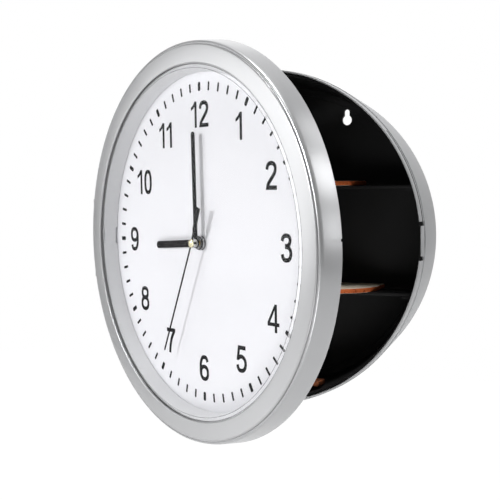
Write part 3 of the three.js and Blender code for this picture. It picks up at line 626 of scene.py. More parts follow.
ring = fit(door_ring(), SILVER, "door", ["door_ring"], SWING)
print("ring faces:", len(ring.data.polygons))

# %% [markdown]
# ## Lens, reflector ring and dial
# Behind the lip sits the clear lens, with a bevel round its edge. Then comes a sloping grey ring
# of dull gloss, and then the dial. At 9 and at 3 o'clock the ring has two slots for snap tabs.

# %% Lens, reflector ring and dial
BEVEL_START, BEVEL_FROM, BEVEL_TO, BEVEL_END = 108.7, 109.2, 110.9, 111.5


def lens_zone(centre, normal):
    """Which finish a face of the lens takes: clear, bevel, or the painted shade on the fine edges of the bevel."""
    radius = math.hypot(centre.x, centre.z)
    if normal.y > -0.5 or not BEVEL_START <= radius <= BEVEL_END:
        return 0
    return 1 if BEVEL_FROM < radius < BEVEL_TO else 2


lens_profile = [
    (0, -70.4, 0), (60, -70.4, 0), (BEVEL_START, -70.4, 0), (BEVEL_FROM, -70.32, 0),
    (BEVEL_TO, -69.97, 0), (BEVEL_END, -69.9, 0), (113.3, -69.9, 0.2), (113.3, -68.6, 0.2),
    (0, -68.6, 0),
]
lens = lathe("lens_sheet", lens_profile)
lens_finishes = [LENS_CLEAR, LENS_BEVEL, LENS_EDGE_SHADE]
fit(lens, lens_finishes, "door", ["lens"], SWING, lens_zone)


def reflector_ring():
    profile = [
        (112.2, -68.3, 0.1), (112.2, -59.4, 0.1), (107.2, -59.4, 0.15), (111.1, -68.3, 0.25),
    ]
    cuts = []
    for side in (-1, 1):
        wide = (side * 106, side * 111.5)
        cuts.append(block("slot", wide, (-69, -67.4), (-2.75, 6.75)))
        cuts.append(block("slot", wide, (-60.5, -59), (-3.75, 7.75)))
    return combine(lathe("reflector", profile, 288), cuts, "DIFFERENCE")


fit(reflector_ring(), REFLECTOR, "door", ["reflector_ring"], SWING)
dial_profile = [
    (3.5, DIAL_FACE, 0), (112.6, DIAL_FACE, 0.1), (112.6, -57.9, 0.1), (3.5, -57.9, 0),
]
dial = lathe("dial_sheet", dial_profile, 192)
fit(dial, DIAL_WHITE, "door", ["dial"], SWING)
print("dial faces:", len(dial.data.polygons))

# %% [markdown]
# ## Printed numbers and minute marks
# The numbers are plain upright figures of an even stroke. Each one is drawn here with strokes
# along a few points, in parts of its own height, so that no font is needed. The strokes overlap,
# and a triangulation of all their outlines keeps what lies inside any of them.

# %% Strokes and figures
STROKE = 0.152
CURVE_STEPS, OVAL_STEPS = 7, 12


def curve(points):
    """A smooth line through points."""
    p = [Vector(q) for q in points]
    p = [2 * p[0] - p[1]] + p + [2 * p[-1] - p[-2]]
    line = []
    for i in range(1, len(p) - 2):
        for k in range(CURVE_STEPS):
            t = k / CURVE_STEPS
            straight = 2 * p[i] + (p[i + 1] - p[i - 1]) * t
            bent = (2 * p[i - 1] - 5 * p[i] + 4 * p[i + 1] - p[i + 2]) * t**2
            twisted = (3 * p[i] - p[i - 1] - 3 * p[i + 1] + p[i + 2]) * t**3
            line.append(0.5 * (straight + bent + twisted))
    return line + [p[-2]]


def stroke(points):
    """The outline of a pen stroke with square ends."""
    line = curve(points) if len(points) > 2 else [Vector(q) for q in points]
    left, right = [], []
    for i, here in enumerate(line):
        along = line[min(i + 1, len(line) - 1)] - line[max(i - 1, 0)]
        side = Vector((-along.y, along.x)).normalized() * STROKE / 2
        left.append(here + side)
        right.append(here - side)
    return left + right[::-1]


def oval(cx, cy, rx, ry, power=2.25):
    """A closed oval stroke, as two halves."""
    halves = []
    for start in (0, math.pi):
        points = []
        for k in range(OVAL_STEPS + 1):
            a = start + math.pi * k / OVAL_STEPS
            x, y = (math.copysign(abs(c) ** (2 / power), c) for c in (math.cos(a), math.sin(a)))
            points.append((cx + rx * x, cy + ry * y))
        halves.append(stroke(points))
    return halves


HALF = STROKE / 2
SIX = [
    [(0.53, 0.75), (0.49, 0.86), (0.42, 0.915), (0.33, 1 - HALF), (0.20, 0.885), (0.11, 0.75)],
    [(0.13, 0.80), (0.085, 0.66), (HALF, 0.50), (0.075, 0.34), (0.11, 0.20), (0.20, 0.10)],
]
FIGURES = {
    "0": (0.58, oval(0.29, 0.5, 0.29 - HALF, 0.5 - HALF, 2.5)),
    "1": (0.38, [
        [(0.24, 0), (0.38, 0), (0.38, 1), (0.24, 1)],
        [(0.25, 1), (0.32, 1), (0.32, 0.82), (0.25, 0.81), (0.13, 0.715), (0, 0.66), (0, 0.785),
         (0.14, 0.86)],
    ]),
    "2": (0.62, [
        stroke([(0.075, 0.70), (0.105, 0.82), (0.19, 0.90), (0.31, 1 - HALF), (0.44, 0.90),
                (0.525, 0.82), (0.54, 0.71), (0.50, 0.59), (0.40, 0.47), (0.26, 0.33),
                (0.15, 0.21), (0.085, 0.10)]),
        [(0, 0), (0.62, 0), (0.62, STROKE), (0.06, STROKE), (0.01, 0.07)],
    ]),
    "3": (0.61, [
        stroke([(0.075, 0.73), (0.115, 0.84), (0.20, 0.91), (0.30, 1 - HALF), (0.42, 0.905),
                (0.495, 0.83), (0.50, 0.73), (0.45, 0.625), (0.36, 0.575), (0.23, 0.565)]),
        stroke([(0.23, 0.535), (0.38, 0.53), (0.495, 0.45), (0.54, 0.31), (0.50, 0.17),
                (0.41, 0.095), (0.30, HALF), (0.19, 0.09), (0.105, 0.17), (HALF, 0.28)]),
    ]),
    "4": (0.66, [
        [(0.40, 0), (0.535, 0), (0.535, 1), (0.40, 1)],
        [(0, 0.225), (0.66, 0.225), (0.66, 0.355), (0, 0.355)],
        [(0.41, 1), (0.50, 1), (0.50, 0.80), (0.405, 0.80), (0.13, 0.34), (0, 0.30), (0, 0.36)],
    ]),
    "5": (0.64, [
        [(0.12, 1 - STROKE), (0.58, 1 - STROKE), (0.58, 1), (0.12, 1)],
        [(0.12, 1), (0.25, 1), (0.235, 0.86), (0.185, 0.54), (0.10, 0.44), (0.025, 0.455)],
        stroke([(0.10, 0.49), (0.19, 0.565), (0.31, 0.60), (0.45, 0.56), (0.545, 0.46),
                (0.57, 0.33), (0.53, 0.19), (0.43, 0.10), (0.31, HALF), (0.19, 0.09),
                (0.11, 0.165), (HALF, 0.28)]),
    ]),
    "6": (0.63, [stroke(s) for s in SIX] + oval(0.325, 0.315, 0.325 - HALF - 0.02, 0.315 - HALF)),
    "7": (0.62, [
        [(0, 1 - STROKE), (0.62, 1 - STROKE), (0.62, 1), (0, 1)],
        stroke([(0.55, 0.90), (0.43, 0.74), (0.33, 0.55), (0.265, 0.34), (0.23, 0.15),
                (0.215, 0.0)]),
    ]),
    "8": (0.63, oval(0.315, 0.74, 0.21, 0.19) + oval(0.315, 0.30, 0.315 - HALF, 0.30 - HALF)),
}
SIX_WIDTH, six = FIGURES["6"]
FIGURES["9"] = (SIX_WIDTH, [[Vector((SIX_WIDTH - q[0], 1 - q[1])) for q in shape] for shape in six])
print("figures:", sorted(FIGURES))

# %% [markdown]
# The mean radius of each number on the dial was read from the photograph: they sit on a circle
# only roughly, because each is centred by eye. The minute marks are on one circle of 98.4 mm,
# and every fifth is about half as wide again.

# %% Print on the dial
NUMBER_HEIGHT = 16.6
NUMBER_GAP = 0.16
NUMBER_RADIUS = {
    1: 82.3, 2: 82.6, 3: 84.5, 4: 82.8, 5: 80.0, 6: 80.1,
    7: 77.0, 8: 81.8, 9: 83.2, 10: 78.9, 11: 80.6, 12: 81.1,
}
MARK_RADIUS, MARK_LENGTH = 98.4, 5.6
THIN_MARK, WIDE_MARK = 1.75, 2.7
INK_RISE, INK_SUNK = 0.04, 0.02


def area(outline):
    """Twice the area inside an outline, negative where it runs clockwise."""
    pairs = zip(outline, outline[1:] + outline[:1])
    return sum(a[0] * b[1] - b[0] * a[1] for a, b in pairs)


def printed(name, outlines):
    """Thin print in front of the dial, from outlines in millimetres that may overlap."""
    points, faces = [], []
    for outline in outlines:
        if area(outline) < 0:
            outline = outline[::-1]
        faces.append(list(range(len(points), len(points) + len(outline))))
        points += [Vector(q) for q in outline]
    verts, _, tris, _, _, source = delaunay_2d_cdt(points, [], faces, 0, 1e-5)
    bm = bmesh.new()
    made = [bm.verts.new((v.x, above(INK_RISE), v.y)) for v in verts]
    for tri, of in zip(tris, source):
        if of:
            bm.faces.new([made[i] for i in tri])
    bmesh.ops.delete(bm, geom=[v for v in bm.verts if not v.link_faces], context="VERTS")
    bmesh.ops.dissolve_limit(bm, angle_limit=0.001, verts=bm.verts, edges=bm.edges)
    back = bmesh.ops.extrude_face_region(bm, geom=bm.faces[:])
    moved = [v for v in back["geom"] if isinstance(v, bmesh.types.BMVert)]
    bmesh.ops.translate(bm, verts=moved, vec=(0, INK_RISE + INK_SUNK, 0))
    return mesh_object(name, bm)


def ray(degrees):
    """The way out from the dial's middle, clockwise from 12."""
    return Vector((math.sin(math.radians(degrees)), math.cos(math.radians(degrees))))


def number(value):
    """The outlines of a number, centred on its place on the dial."""
    glyphs = [FIGURES[c] for c in str(value)]
    width = sum(g[0] for g in glyphs) + NUMBER_GAP * (len(glyphs) - 1)
    middle = ray(30 * value) * NUMBER_RADIUS[value]
    outlines, start = [], -width / 2
    for glyph_width, shapes in glyphs:
        for shape in shapes:
            places = [Vector((start + q[0], q[1] - 0.5)) for q in map(Vector, shape)]
            outlines.append([middle + q * NUMBER_HEIGHT for q in places])
        start += glyph_width + NUMBER_GAP
    return outlines


def mark(minute):
    """One minute mark, with its corners nipped off."""
    half = (THIN_MARK if minute % 5 else WIDE_MARK) / 2
    low, high = MARK_RADIUS - MARK_LENGTH / 2, MARK_RADIUS + MARK_LENGTH / 2
    nip = half * 0.45
    shape = [(-half, low + nip), (-half + nip, low), (half - nip, low), (half, low + nip),
             (half, high - nip), (half - nip, high), (-half + nip, high), (-half, high - nip)]
    out = ray(6 * minute)
    across = Vector((out.y, -out.x))
    return [across * q[0] + out * q[1] for q in shape]


prints = {f"number_{value}": number(value) for value in NUMBER_RADIUS}
prints["minute_marks"] = [mark(minute) for minute in range(60)]
for name, outlines in prints.items():
    fit(printed(name, outlines), INK, "door", turn=SWING)
print("printed:", sorted(prints))

# %% [markdown]
# ## The case
# The case is a slightly conical shell with a thin collar in front, which the ring slips over. A fine groove runs
# round the collar just before the shell. At 3 o'clock the collar is cut away on both sides of the latch tongue,
# and above it two narrow slits run up the collar. Beside 3 o'clock the groove and the slits are painted black
# inside, as painted shade. At 9 o'clock the case carries two hinge knuckles on short arms.

# %% Case shell
COLLAR_BORE, COLLAR_OUTER = 113.2, 114.2
COLLAR_FRONT, SHOULDER = -60.0, -51.1
SHELL_REAR, SHELL_MOUTH = 109.7, 104
TONGUE_HALF, LATCH_SLOT = 9.75, 2.8
CASE_KNUCKLE = (8, 18)
SLIT_TOP = 70
SLITS = ((-55.4, -53.9, 112.9), (-52.1, SHOULDER, 113.5))  # front, rear and floor's radius
ARM = [
    (PIN_X, PIN_Y + 2.66), (PIN_X + 2.52, PIN_Y + 1.12), (-115.7, -60.6),
    (-COLLAR_OUTER, COLLAR_FRONT), (-112.2, COLLAR_FRONT), (-112.2, SKIRT_REAR),
    (-116.2, SKIRT_REAR),
]


def case_shell():
    profile = [
        (COLLAR_BORE, COLLAR_FRONT, 0.2), (COLLAR_OUTER, COLLAR_FRONT, 0.3),
        (COLLAR_OUTER, SHOULDER - 0.5, 0.05), (COLLAR_OUTER - 0.4, SHOULDER - 0.4, 0.05),
        (COLLAR_OUTER - 0.4, SHOULDER, 0.05), (114.7, SHOULDER, 0.3), (SHELL_REAR, 0, 0.8),
        (SHELL_MOUTH, 0, 0.3), (SHELL_MOUTH, -2, 0.2), (108.4, -2, 0.3),
        (112.94, -48.35, 1), (COLLAR_BORE, -50.35, 1),
    ]
    shell = lathe("case_turned", profile, 288)
    reach = TONGUE_HALF + LATCH_SLOT
    latch_room = (LATCH_HEIGHT - reach, LATCH_HEIGHT + reach)
    cuts = [block("gap", (110.4, 115.2), (-61, SHOULDER), latch_room)]
    for front, rear, floor in SLITS:
        corners = ((floor, front), (116, front), (116, rear), (floor, rear))
        slit = lathe("slit", [(*corner, 0) for corner in corners])
        above_latch = block("above", (80, 120), (-60, -50), (latch_room[1], SLIT_TOP))
        cuts.append(combine(slit, [above_latch], "INTERSECT"))
    combine(shell, cuts, "DIFFERENCE")
    arms, bores = [], []
    for side in (-1, 1):
        low, high = sorted(side * end for end in CASE_KNUCKLE)
        sleeve, bore = knuckle(low, high)
        arms += [slab("arm", ARM, "Z", low, high, 0.3), sleeve]
        bores.append(bore)
    inside = [(0, -61, 0), (COLLAR_BORE, -61, 0), (COLLAR_BORE, -54.1, 0), (0, -54.1, 0)]
    bores.append(lathe("inside", inside, 288))
    combine(shell, arms, "UNION")
    return combine(shell, bores, "DIFFERENCE")


def groove_zone(centre, normal):
    """Faces between the collar's two sides beside 3 o'clock take black: painted shade in the grooves and slits."""
    radius = math.hypot(centre.x, centre.z)
    within = COLLAR_BORE + 0.1 < radius < COLLAR_OUTER - 0.1 and centre.x > 50
    return 1 if within and -56 < centre.y < SHOULDER - 0.05 else 0


# Beside 3 o'clock the grooves and slits take black, as painted shade.
SILVER_AND_PAINTED_SHADE = [CASE_SILVER, BLACK]
shell = fit(case_shell(), SILVER_AND_PAINTED_SHADE, "case", ["case_shell"], pick=groove_zone)
print("case faces:", len(shell.data.polygons))

# %% [markdown]
# ## The latch tongue
# The tongue is a strip of the collar between two slots. Its hook snaps behind the door's keeper, and it bends on a
# neck of half its thickness. The groove of the neck before the shell is painted black, as painted shade.

# %% Latch tongue
TONGUE_TIP, TONGUE_ROOT = -58.5, -51.4
HOOK = COLLAR_OUTER + 1.1
tongue_outline = [
    (COLLAR_BORE, TONGUE_TIP + 0.2), (COLLAR_BORE + 0.2, TONGUE_TIP), (COLLAR_OUTER, TONGUE_TIP),
    (HOOK, TONGUE_TIP + 1), (HOOK, TONGUE_TIP + 1.4), (COLLAR_OUTER, TONGUE_TIP + 1.45),
    (COLLAR_OUTER, TONGUE_ROOT - 3.1), (COLLAR_OUTER - 0.1, TONGUE_ROOT - 3),
    (COLLAR_BORE + 0.5, TONGUE_ROOT - 2.9), (COLLAR_BORE + 0.5, TONGUE_ROOT),
    (COLLAR_BORE, TONGUE_ROOT),
]
tongue_ends = (LATCH_HEIGHT - TONGUE_HALF, LATCH_HEIGHT + TONGUE_HALF)
tongue = slab("tongue", tongue_outline, "Z", *tongue_ends, 0.15)
# The neck's groove takes the same painted shade.
fit(tongue, SILVER_AND_PAINTED_SHADE, "latch", ["latch_tongue"], pick=groove_zone)
print("tongue faces:", len(tongue.data.polygons))

# %% [markdown]
# ## The tub
# The tub is a black dish with a flat floor. Two keyholes go through the floor, round below for
# the head of a wall screw and narrow above for its neck. Four runners along the wall carry the
# ledges. The runners are plain blocks, trimmed to the tub's round wall.

# %% Tub
TUB_FRONT, TUB_SEAT, TUB_INSIDE = -52.8, -2.3, -4.6
TUB_FRONT_RADIUS, TUB_REAR_RADIUS, TUB_WALL = 112.9, 108.125, 1.8
LEDGE_TOPS = {"ledge_upper": 34.6, "ledge_lower": -37.9}
LEDGE_FRONT = -33.0
KEYHOLE_X, KEYHOLE_LOW, KEYHOLE_HIGH = 46.3, 81.4, 86.95
SCREW_HEAD, SCREW_NECK = 3.6, 2.05


def tub_bore(y):
    share = (y - TUB_FRONT) / (TUB_SEAT - TUB_FRONT)
    return TUB_FRONT_RADIUS + (TUB_REAR_RADIUS - TUB_FRONT_RADIUS) * share - TUB_WALL


def keyhole(x):
    """The cutters of one keyhole."""
    neck = (x - SCREW_NECK, x + SCREW_NECK)
    return [
        bar("round", SCREW_HEAD, "Y", -8, 1, (x, KEYHOLE_LOW)),
        block("neck", neck, (-8, 1), (KEYHOLE_LOW, KEYHOLE_HIGH)),
        bar("top", SCREW_NECK, "Y", -8, 1, (x, KEYHOLE_HIGH)),
    ]


def runners():
    """Blocks under both ends of each ledge, trimmed to the tub's wall."""
    made = []
    for top in LEDGE_TOPS.values():
        under = top - 2.3
        inner = math.sqrt(tub_bore(TUB_INSIDE) ** 2 - under**2) - 5
        outer = math.sqrt(tub_bore(LEDGE_FRONT) ** 2 - under**2) + 3
        for side in (-1, 1):
            wide, deep = (side * inner, side * outer), (LEDGE_FRONT, TUB_INSIDE - 0.02)
            made.append(block("runner", wide, deep, (under - 1.6, under)))
    profile = [
        (0, -3, 0), (tub_bore(TUB_INSIDE) + 0.9, TUB_INSIDE + 0.5, 0),
        (tub_bore(TUB_FRONT) + 0.9, TUB_FRONT, 0), (0, TUB_FRONT, 0),
    ]
    room = lathe("room", profile, 288)
    joined = combine(made[0], made[1:], "UNION")
    return combine(joined, [room], "INTERSECT")


def tub():
    profile = [
        (0, 0, 0), (103.7, 0, 0.3), (103.7, TUB_SEAT, 0.1), (TUB_REAR_RADIUS, TUB_SEAT, 0.8),
        (TUB_FRONT_RADIUS, TUB_FRONT, 0.3), (tub_bore(TUB_FRONT), TUB_FRONT, 0.4),
        (tub_bore(TUB_INSIDE), TUB_INSIDE, 2.5), (101.4, TUB_INSIDE, 0.4),
        (101.4, TUB_SEAT, 0.4), (0, TUB_SEAT, 0),
    ]
    bowl = lathe("tub_turned", profile, 288)
    combine(bowl, [runners()], "UNION")
    return combine(bowl, keyhole(-KEYHOLE_X) + keyhole(KEYHOLE_X), "DIFFERENCE")


fit(tub(), BLACK, "case", ["tub"])
print("tub bore at the floor:", round(tub_bore(TUB_INSIDE), 1), "mm")

# %% [markdown]
# ## Ledges and boards
# The ledges are thin black plates that reach from wall to wall. On them lie loose boards with two large round
# front corners, and a small strip lies in the bottom of the tub. A board is cream on its faces and worn corners
# and browned on its cut edge, so each face takes the finish that its normal calls for. The strip in the bottom
# takes a darker copy of the browned edge all over, faces too: browning with painted shade, as it lies low in the
# dark tub.

# %% Ledges and boards
BOARD_THICKNESS = 3.3
BOARD_FRONT, BOARD_REAR = -49.2, TUB_INSIDE - 0.3
BOARD_WIDTH, BOARD_CORNER = 138, 29
STRIP_WIDTH, STRIP_DEPTH, STRIP_CORNER = 80, 12, 3


def ledge(name, top):
    low = top - 2
    furthest = max(abs(top), abs(low))
    rear = TUB_INSIDE - 0.3
    a, b = (math.sqrt((tub_bore(y) - 0.3) ** 2 - furthest**2) for y in (LEDGE_FRONT, rear))
    outline = [(-a, LEDGE_FRONT), (a, LEDGE_FRONT), (b, rear), (-b, rear)]
    return slab(name + "_plate", outline, "Z", low, top, 0.3)


def board(name, top, width, rear, corner, shift):
    half = width / 2
    front = BOARD_FRONT + corner
    outline = (
        [(shift - half, rear)]
        + corner_arc(shift - half + corner, front, corner, 180, 270)
        + corner_arc(shift + half - corner, front, corner, 270, 360)
        + [(shift + half, rear)]
    )
    return slab(name + "_sheet", outline, "Z", top - BOARD_THICKNESS, top, 0.7)


def board_zone(centre, normal):
    """The faces and their worn corners are cream, and the cut edge is brown."""
    return 0 if abs(normal.z) > 0.4 else 1


for name, top in LEDGE_TOPS.items():
    fit(ledge(name, top), BLACK, "case", [name])
upper_top, lower_top = (top + BOARD_THICKNESS for top in LEDGE_TOPS.values())
strip_rear = BOARD_FRONT + STRIP_DEPTH
strip_top = BOARD_THICKNESS - math.sqrt((tub_bore(strip_rear) - 0.3) ** 2 - (STRIP_WIDTH / 2) ** 2)
boards = {
    "shelf_board_upper": (upper_top + 0.3, BOARD_WIDTH, BOARD_REAR, BOARD_CORNER, -8),
    "shelf_board_lower": (lower_top + 0.1, BOARD_WIDTH, BOARD_REAR, BOARD_CORNER, 5),
    "board_strip_bottom": (strip_top, STRIP_WIDTH, strip_rear, STRIP_CORNER, 0),
}
for name, measures in boards.items():
    strip = name == "board_strip_bottom"
    # The strip takes the darker browned finish, with painted shade.
    finishes = [STRIP_BROWN_PAINTED_SHADE] * 2 if strip else [BOARD_FACE, BOARD_EDGE]
    fit(board(name, *measures), finishes, "case", [name], pick=board_zone)
print("boards:", sorted(boards))

# %% [markdown]
# ## Back plate and battery
# The back plate is a turned disc with a window for the movement and four screw holes. The battery
# is turned too and then laid along X: a steel can whose jacket stops short of its two ends, with
# a nub at the right one.

# %% Back plate
PLATE_RADIUS, PLATE_FRONT, PLATE_REAR = 112.6, -57.6, -55.3
SCREW_CIRCLE, SCREW_HOLE = 110.1, 1.3
WINDOW_HALF, WINDOW_CORNER = 28.3, 5


def back_plate():
    profile = [
        (0, PLATE_FRONT, 0), (PLATE_RADIUS, PLATE_FRONT, 0.2), (PLATE_RADIUS, PLATE_REAR, 0.7),
        (0, PLATE_REAR, 0),
    ]
    disc = lathe("plate_turned", profile)
    inner = WINDOW_HALF - WINDOW_CORNER
    outline = []
    for first, (x, z) in zip((0, 90, 180, 270), ((1, 1), (-1, 1), (-1, -1), (1, -1))):
        outline += corner_arc(x * inner, z * inner, WINDOW_CORNER, first, first + 90, 8)
    cutters = [slab("window", outline, "Y", -59, -54, 0)]
    for angle in (45, 135, 225, 315):
        cutters.append(bar("hole", SCREW_HOLE, "Y", -59, -54, ray(angle) * SCREW_CIRCLE, 24))
    return combine(disc, cutters, "DIFFERENCE")


fit(back_plate(), BLACK, "door", ["back_plate"], SWING)
print("window:", 2 * WINDOW_HALF, "mm wide")

# %% Battery
CELL_HALF, CELL_RADIUS, CELL_AXIS, CELL_HEIGHT = 24.6, 7.1, -47.3, -17.6
NUB_RADIUS, NUB_END = 2.7, CELL_HALF + 1.2
cell_profile = [
    (0, -CELL_HALF, 0), (5.6, -CELL_HALF, 0.2), (6.7, -CELL_HALF + 0.3, 0.3),
    (CELL_RADIUS, -CELL_HALF + 1, 0.3), (CELL_RADIUS, CELL_HALF - 1.1, 0.4),
    (6.5, CELL_HALF - 0.6, 0.3), (5.2, CELL_HALF - 0.9, 0.3), (4.2, CELL_HALF, 0.3),
    (NUB_RADIUS, CELL_HALF, 0.1), (NUB_RADIUS, NUB_END, 0.4), (0, NUB_END, 0),
]
cell = lathe("cell_turned", cell_profile, 64)


def cell_zone(centre, normal):
    """Its ends are bare steel; the rest is the printed jacket."""
    return 1 if abs(centre.y) > CELL_HALF - 1.5 else 0


cell_place = Matrix.Translation(Vector((0, CELL_AXIS, CELL_HEIGHT)) * MM)
LAID = cell_place @ Matrix.Rotation(-math.pi / 2, 4, "Z")
fit(cell, [BATTERY, STEEL], "door", ["battery"], SWING @ LAID, cell_zone)
print("cell:", round(NUB_END + CELL_HALF, 1), "mm long")

# %% [markdown]
# ## Hands and hub
# The hands are drawn pointing to 12 and then turned to their own angle. Each hub is black with a
# bright collar inside it, so that the hub shows dark and light rings, one behind the other. The
# second hand's tail is a paddle, and is a little out of line with its needle. A round pale brass
# cap sits on its hub.

# %% Hands and hub
HOUR_ANGLE, MINUTE_ANGLE, SECOND_ANGLE = 266.8, -1.1, 205.5
BLADE = 0.4
TAIL_BEND = 4.5


def collar(name, bore, inner, outer, low, rim, top):
    """A hub out to its outer radius, with a collar inside that stands prouder; the hand's pick makes the hub black
    and the collar steel.
    """
    profile = [
        (bore, above(low), 0), (outer, above(low), 0.1), (outer, above(rim), 0.12),
        (inner, above(rim), 0.03), (inner, above(top), 0.15), (bore, above(top), 0.12),
    ]
    return lathe(name, profile, 72)


def hub_zone(inner):
    """A pick that gives steel out to the collar's radius and black beyond it."""
    return lambda centre, normal: 1 if math.hypot(centre.x, centre.z) < inner + 0.02 else 0


def straight_hand(name, width, reach, height, hole, hub, angle):
    """A hand with a round end and a hub, drawn at a height above the dial and then turned."""
    half = width / 2
    outline = [(half, 0)] + corner_arc(0, reach - half, half, 0, 180) + [(-half, 0)]
    hand = slab(name + "_blade", outline, "Y", above(height + BLADE), above(height), 0.1)
    cutter = bar("hole", hole, "Y", above(height + 1.5), above(height - 1.5), (0, 0))
    combine(hand, [cutter], "DIFFERENCE")
    combine(hand, [collar(name + "_collar", *hub)], "UNION")
    turn = SWING @ clock_turn(angle)
    fit(hand, [HAND_BLACK, STEEL], name, [name + "_hand"], turn, hub_zone(hub[1]))


straight_hand(
    "hour", width=4.7, reach=49.9, height=2.4, hole=3.5,
    hub=(2.45, 3.6, 4.3, 2.35, 2.85, 3.2), angle=HOUR_ANGLE,
)
straight_hand(
    "minute", width=3.9, reach=70.2, height=4.5, hole=2.4,
    hub=(0.9, 2.6, 3.1, 4.2, 5.0, 5.4), angle=MINUTE_ANGLE,
)


def second_hand():
    low, high = above(7.9 + BLADE), above(7.9)
    needle = [(0.6, -2)] + corner_arc(0, 79.0, 0.6, 0, 180, 6) + [(-0.6, -2)]
    bend = Matrix.Rotation(math.radians(TAIL_BEND), 2)
    left = [(-0.8, 0), (-0.8, -7.5), (-1.8, -9.3), (-1.8, -24)]
    tail = [bend @ Vector(q) for q in left + [(-x, y) for x, y in left[::-1]]]
    hand = slab("needle", needle, "Y", low, high, 0.06)
    others = [slab("tail", tail, "Y", low, high, 0.06)]
    others.append(bar("arbor", 0.5, "Y", above(8.1), -43.1, (0, 0), 24))
    return combine(hand, others, "UNION")


second_turn = SWING @ clock_turn(SECOND_ANGLE)
fit(second_hand(), HAND_BLACK, "second", ["second_hand"], second_turn)
cap_profile = [
    (0, 7.2, 0), (1.5, 7.2, 0.2), (2.5, 7.7, 0.5), (2.75, 8.35, 0.5), (2.45, 8.95, 0.5),
    (1.4, 9.35, 0.8), (0, 9.4, 0),
]
cap = lathe("cap_turned", [(r, above(height), fillet) for r, height, fillet in cap_profile], 64)
fit(cap, PALE_BRASS, "second", ["hand_cap"], SWING)
print("hands at", HOUR_ANGLE, MINUTE_ANGLE, SECOND_ANGLE)

# %% [markdown]
# ## Softening the plain pieces
# Small pieces such as screws and the nut already have their true shape in the model, but every
# edge of it is knife sharp. A copy with a narrow bevel on each real edge shines along its rim as
# pressed and turned parts do. Faces that the model splits into triangles are joined first.

# %% Softened copies of the model's pieces
JOIN_ANGLE, REAL_EDGE = 0.6, 30


def softened(node, finish, body, width):
    bm = bmesh.new()
    bm.from_mesh(frame["nodes"][node].data)
    bmesh.ops.scale(bm, vec=(1 / MM,) * 3, verts=bm.verts)
    bmesh.ops.remove_doubles(bm, verts=bm.verts, dist=0.002)
    bmesh.ops.dissolve_limit(
        bm, angle_limit=math.radians(JOIN_ANGLE), verts=bm.verts, edges=bm.edges,
        delimit={"NORMAL"},
    )
    limit = math.radians(REAL_EDGE)
    closed = [edge for edge in bm.edges if len(edge.link_faces) == 2]
    bevel(bm, [edge for edge in closed if edge.calc_face_angle(0) > limit], width)
    bmesh.ops.triangulate(bm, faces=[face for face in bm.faces if len(face.verts) > 4])
    piece = mesh_object(node + "_soft", bm)
    slot = next(s["material_slot"] for s in frame["record"]["subparts"] if s["node"] == node)
    return fit(piece, finish, body, [node])


SOFTENED = {
    "hex_nut": (STEEL, "door", 0.15),
    "dial_washer": (NUT_BLACK, "door", 0.08),
    "centre_bush": (PALE_BRASS, "door", 0.1),
    "gasket": (RUBBER, "door", 0.15),
    "movement_housing": (MOVEMENT_BLACK, "door", 0.3),
    "movement_cover": (MOVEMENT_BLACK, "door", 0.2),
    "set_knob": (MOVEMENT_BLACK, "minute", 0.12),
    "circuit_board": (GREEN, "door", 0.05),
    "drive_coil": (COPPER, "door", 0.15),
    "hinge_pin": (STEEL, "case", 0.2),
}
for i in range(4):
    SOFTENED[f"back_plate_screw_{i + 1}"] = (STEEL, "door", 0.12)
for node, (finish, body, width) in SOFTENED.items():
    softened(node, finish, body, width)
print("softened:", len(SOFTENED))

# %% [markdown]
# ## Finishes of the other pieces
# These pieces are right as the model has them, so they only get their finish.

# %% Finishes by node
FINISH_BY_NODE = {
    "cannon_pinion": BRASS,
    "hour_wheel": PALE_BRASS,
    "minute_wheel": BRASS,
    "battery_contact_positive": STEEL,
    "battery_contact_negative": STEEL,
}
for node, finish in FINISH_BY_NODE.items():
    piece = frame["nodes"][node]
    piece.data.materials.clear()
    piece.data.materials.append(finish)
print("finished as they are:", sorted(FINISH_BY_NODE))

# %% [markdown]
# ## Studio
# The photograph has a pure white background, so the world is white for the camera and for rays
# through the lens, and much dimmer as a light. A real studio is darker in front of the object
# than behind it, and silver shows that: a mirrored ray sees full white behind the clock, which
# fades to a quarter of that in front. The floor lies below the picture and is just as white.

# %% World and floor
WORLD_LIGHT = 0.12
ROOM_LIGHT, ROOM_NEAR, ROOM_FAR = 0.25, 0.15, 0.7
FLOOR_HEIGHT, FLOOR_HALF = -0.62, 2600
FLOOR_SHADE, FLOOR_GLOW, GLOW_SHARE = 0.85, 1.08, 0.92
WHITE = (1, 1, 1)


def background_ray(f):
    """1 for rays that should see the plain white background."""
    names = ("Is Camera Ray", "Is Glossy Ray", "Is Transmission Ray")
    kinds = [f.node("ShaderNodeLightPath", out=name) for name in names]
    return (kinds[0] + kinds[1] + kinds[2]).above(0.5)


world = bpy.data.worlds.new("studio")
bpy.context.scene.world = world
w = Finish("studio", world)
room = w.fade(w.part(w.place, "Y"), ROOM_NEAR, ROOM_FAR, ROOM_LIGHT, 1)
glossy = w.node("ShaderNodeLightPath", out="Is Glossy Ray")
seen = 1 - glossy * (1 - room)
strength = WORLD_LIGHT + background_ray(w) * (seen - WORLD_LIGHT)
light = w.node("ShaderNodeBackground", {"Color": WHITE, "Strength": strength})
w.node("ShaderNodeOutputWorld", {"Surface": light})


def floor_finish():
    f = Finish("floor_white")
    dull = f.node("ShaderNodeBsdfDiffuse", {"Color": (FLOOR_SHADE,) * 3})
    glow = f.node("ShaderNodeEmission", {"Color": WHITE, "Strength": FLOOR_GLOW})
    share = background_ray(f) * GLOW_SHARE
    mixed = f.node("ShaderNodeMixShader", {0: share, 1: dull, 2: glow})
    f.node("ShaderNodeOutputMaterial", {"Surface": mixed})
    return f.material


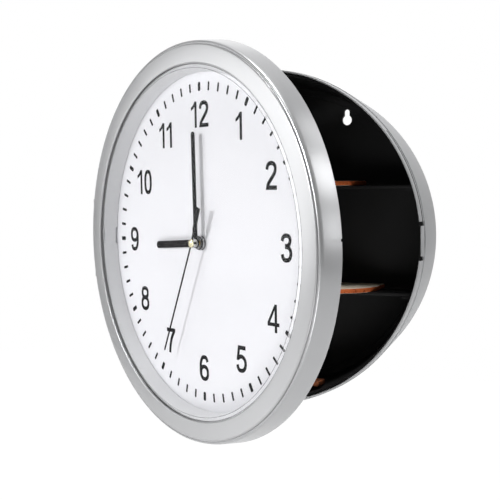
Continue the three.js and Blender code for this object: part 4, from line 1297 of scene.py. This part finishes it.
bm = bmesh.new()
bmesh.ops.create_grid(bm, x_segments=1, y_segments=1, size=FLOOR_HALF)
bmesh.ops.translate(bm, verts=bm.verts, vec=(0, 0, FLOOR_HEIGHT / MM))
floor = mesh_object("floor", bm)
floor.data.materials.append(floor_finish())
print("floor at", FLOOR_HEIGHT, "m")

# %% [markdown]
# ## Lamps
# Silver shows a lamp wherever it mirrors it. The ring's crowned face and its skirt tilt a little
# differently all the way round, so the direction of a lamp decides which stretch lights up. The
# key throws the shadows of the hands, the lamps at the left light the top right of the ring's
# face, those at the right make the bands on its skirt, and the last two reach round the case.
# Each lamp is a soft rectangle that points at the centre.

# %% Lamps
CENTRE = Vector((0.0, -0.1, 0.0))
LAMPS = {
    # name: degrees round from the front, degrees up, distance and size in metres, watts
    "key": (-49, 14, 2.0, (0.3, 0.3), 20),
    "left_box": (-75, 6, 1.45, (0.5, 0.6), 3.2),
    "left_low": (-71, -20, 1.0, (0.35, 0.35), 0.36),
    "right_box": (98, 29, 1.45, (0.35, 0.45), 2.75),
    "right_side": (93, 6, 1.45, (0.3, 0.35), 1.3),
    "right_rear": (114, 46, 1.45, (0.3, 0.35), 0.85),
    "top": (0, 85, 1.45, (0.6, 0.6), 25),
    "front_low": (20, -33, 1.0, (0.45, 0.45), 5),
    "rear": (-159, 32, 1.45, (0.45, 0.45), 0.3),
    "rear_low": (150, -30, 1.0, (0.45, 0.45), 2.2),
}
for name, (azimuth, elevation, distance, size, power) in LAMPS.items():
    a, e = math.radians(azimuth), math.radians(elevation)
    away = Vector((math.sin(a) * math.cos(e), -math.cos(a) * math.cos(e), math.sin(e)))
    facing = (-away).to_track_quat("-Z", "Y").to_matrix().to_4x4()
    data = bpy.data.lights.new(name, "AREA")
    data.shape = "RECTANGLE"
    data.size, data.size_y = size
    data.energy = power
    lamp = bpy.data.objects.new(name, data)
    lamp.matrix_world = Matrix.Translation(CENTRE + away * distance) @ facing
    bpy.context.scene.collection.objects.link(lamp)
print("lamps:", len(LAMPS))

# %% [markdown]
# ## Last lines
# The last line sets the view transform to Standard.

# %% View settings and the end
bpy.context.scene.view_settings.view_transform = "Standard"
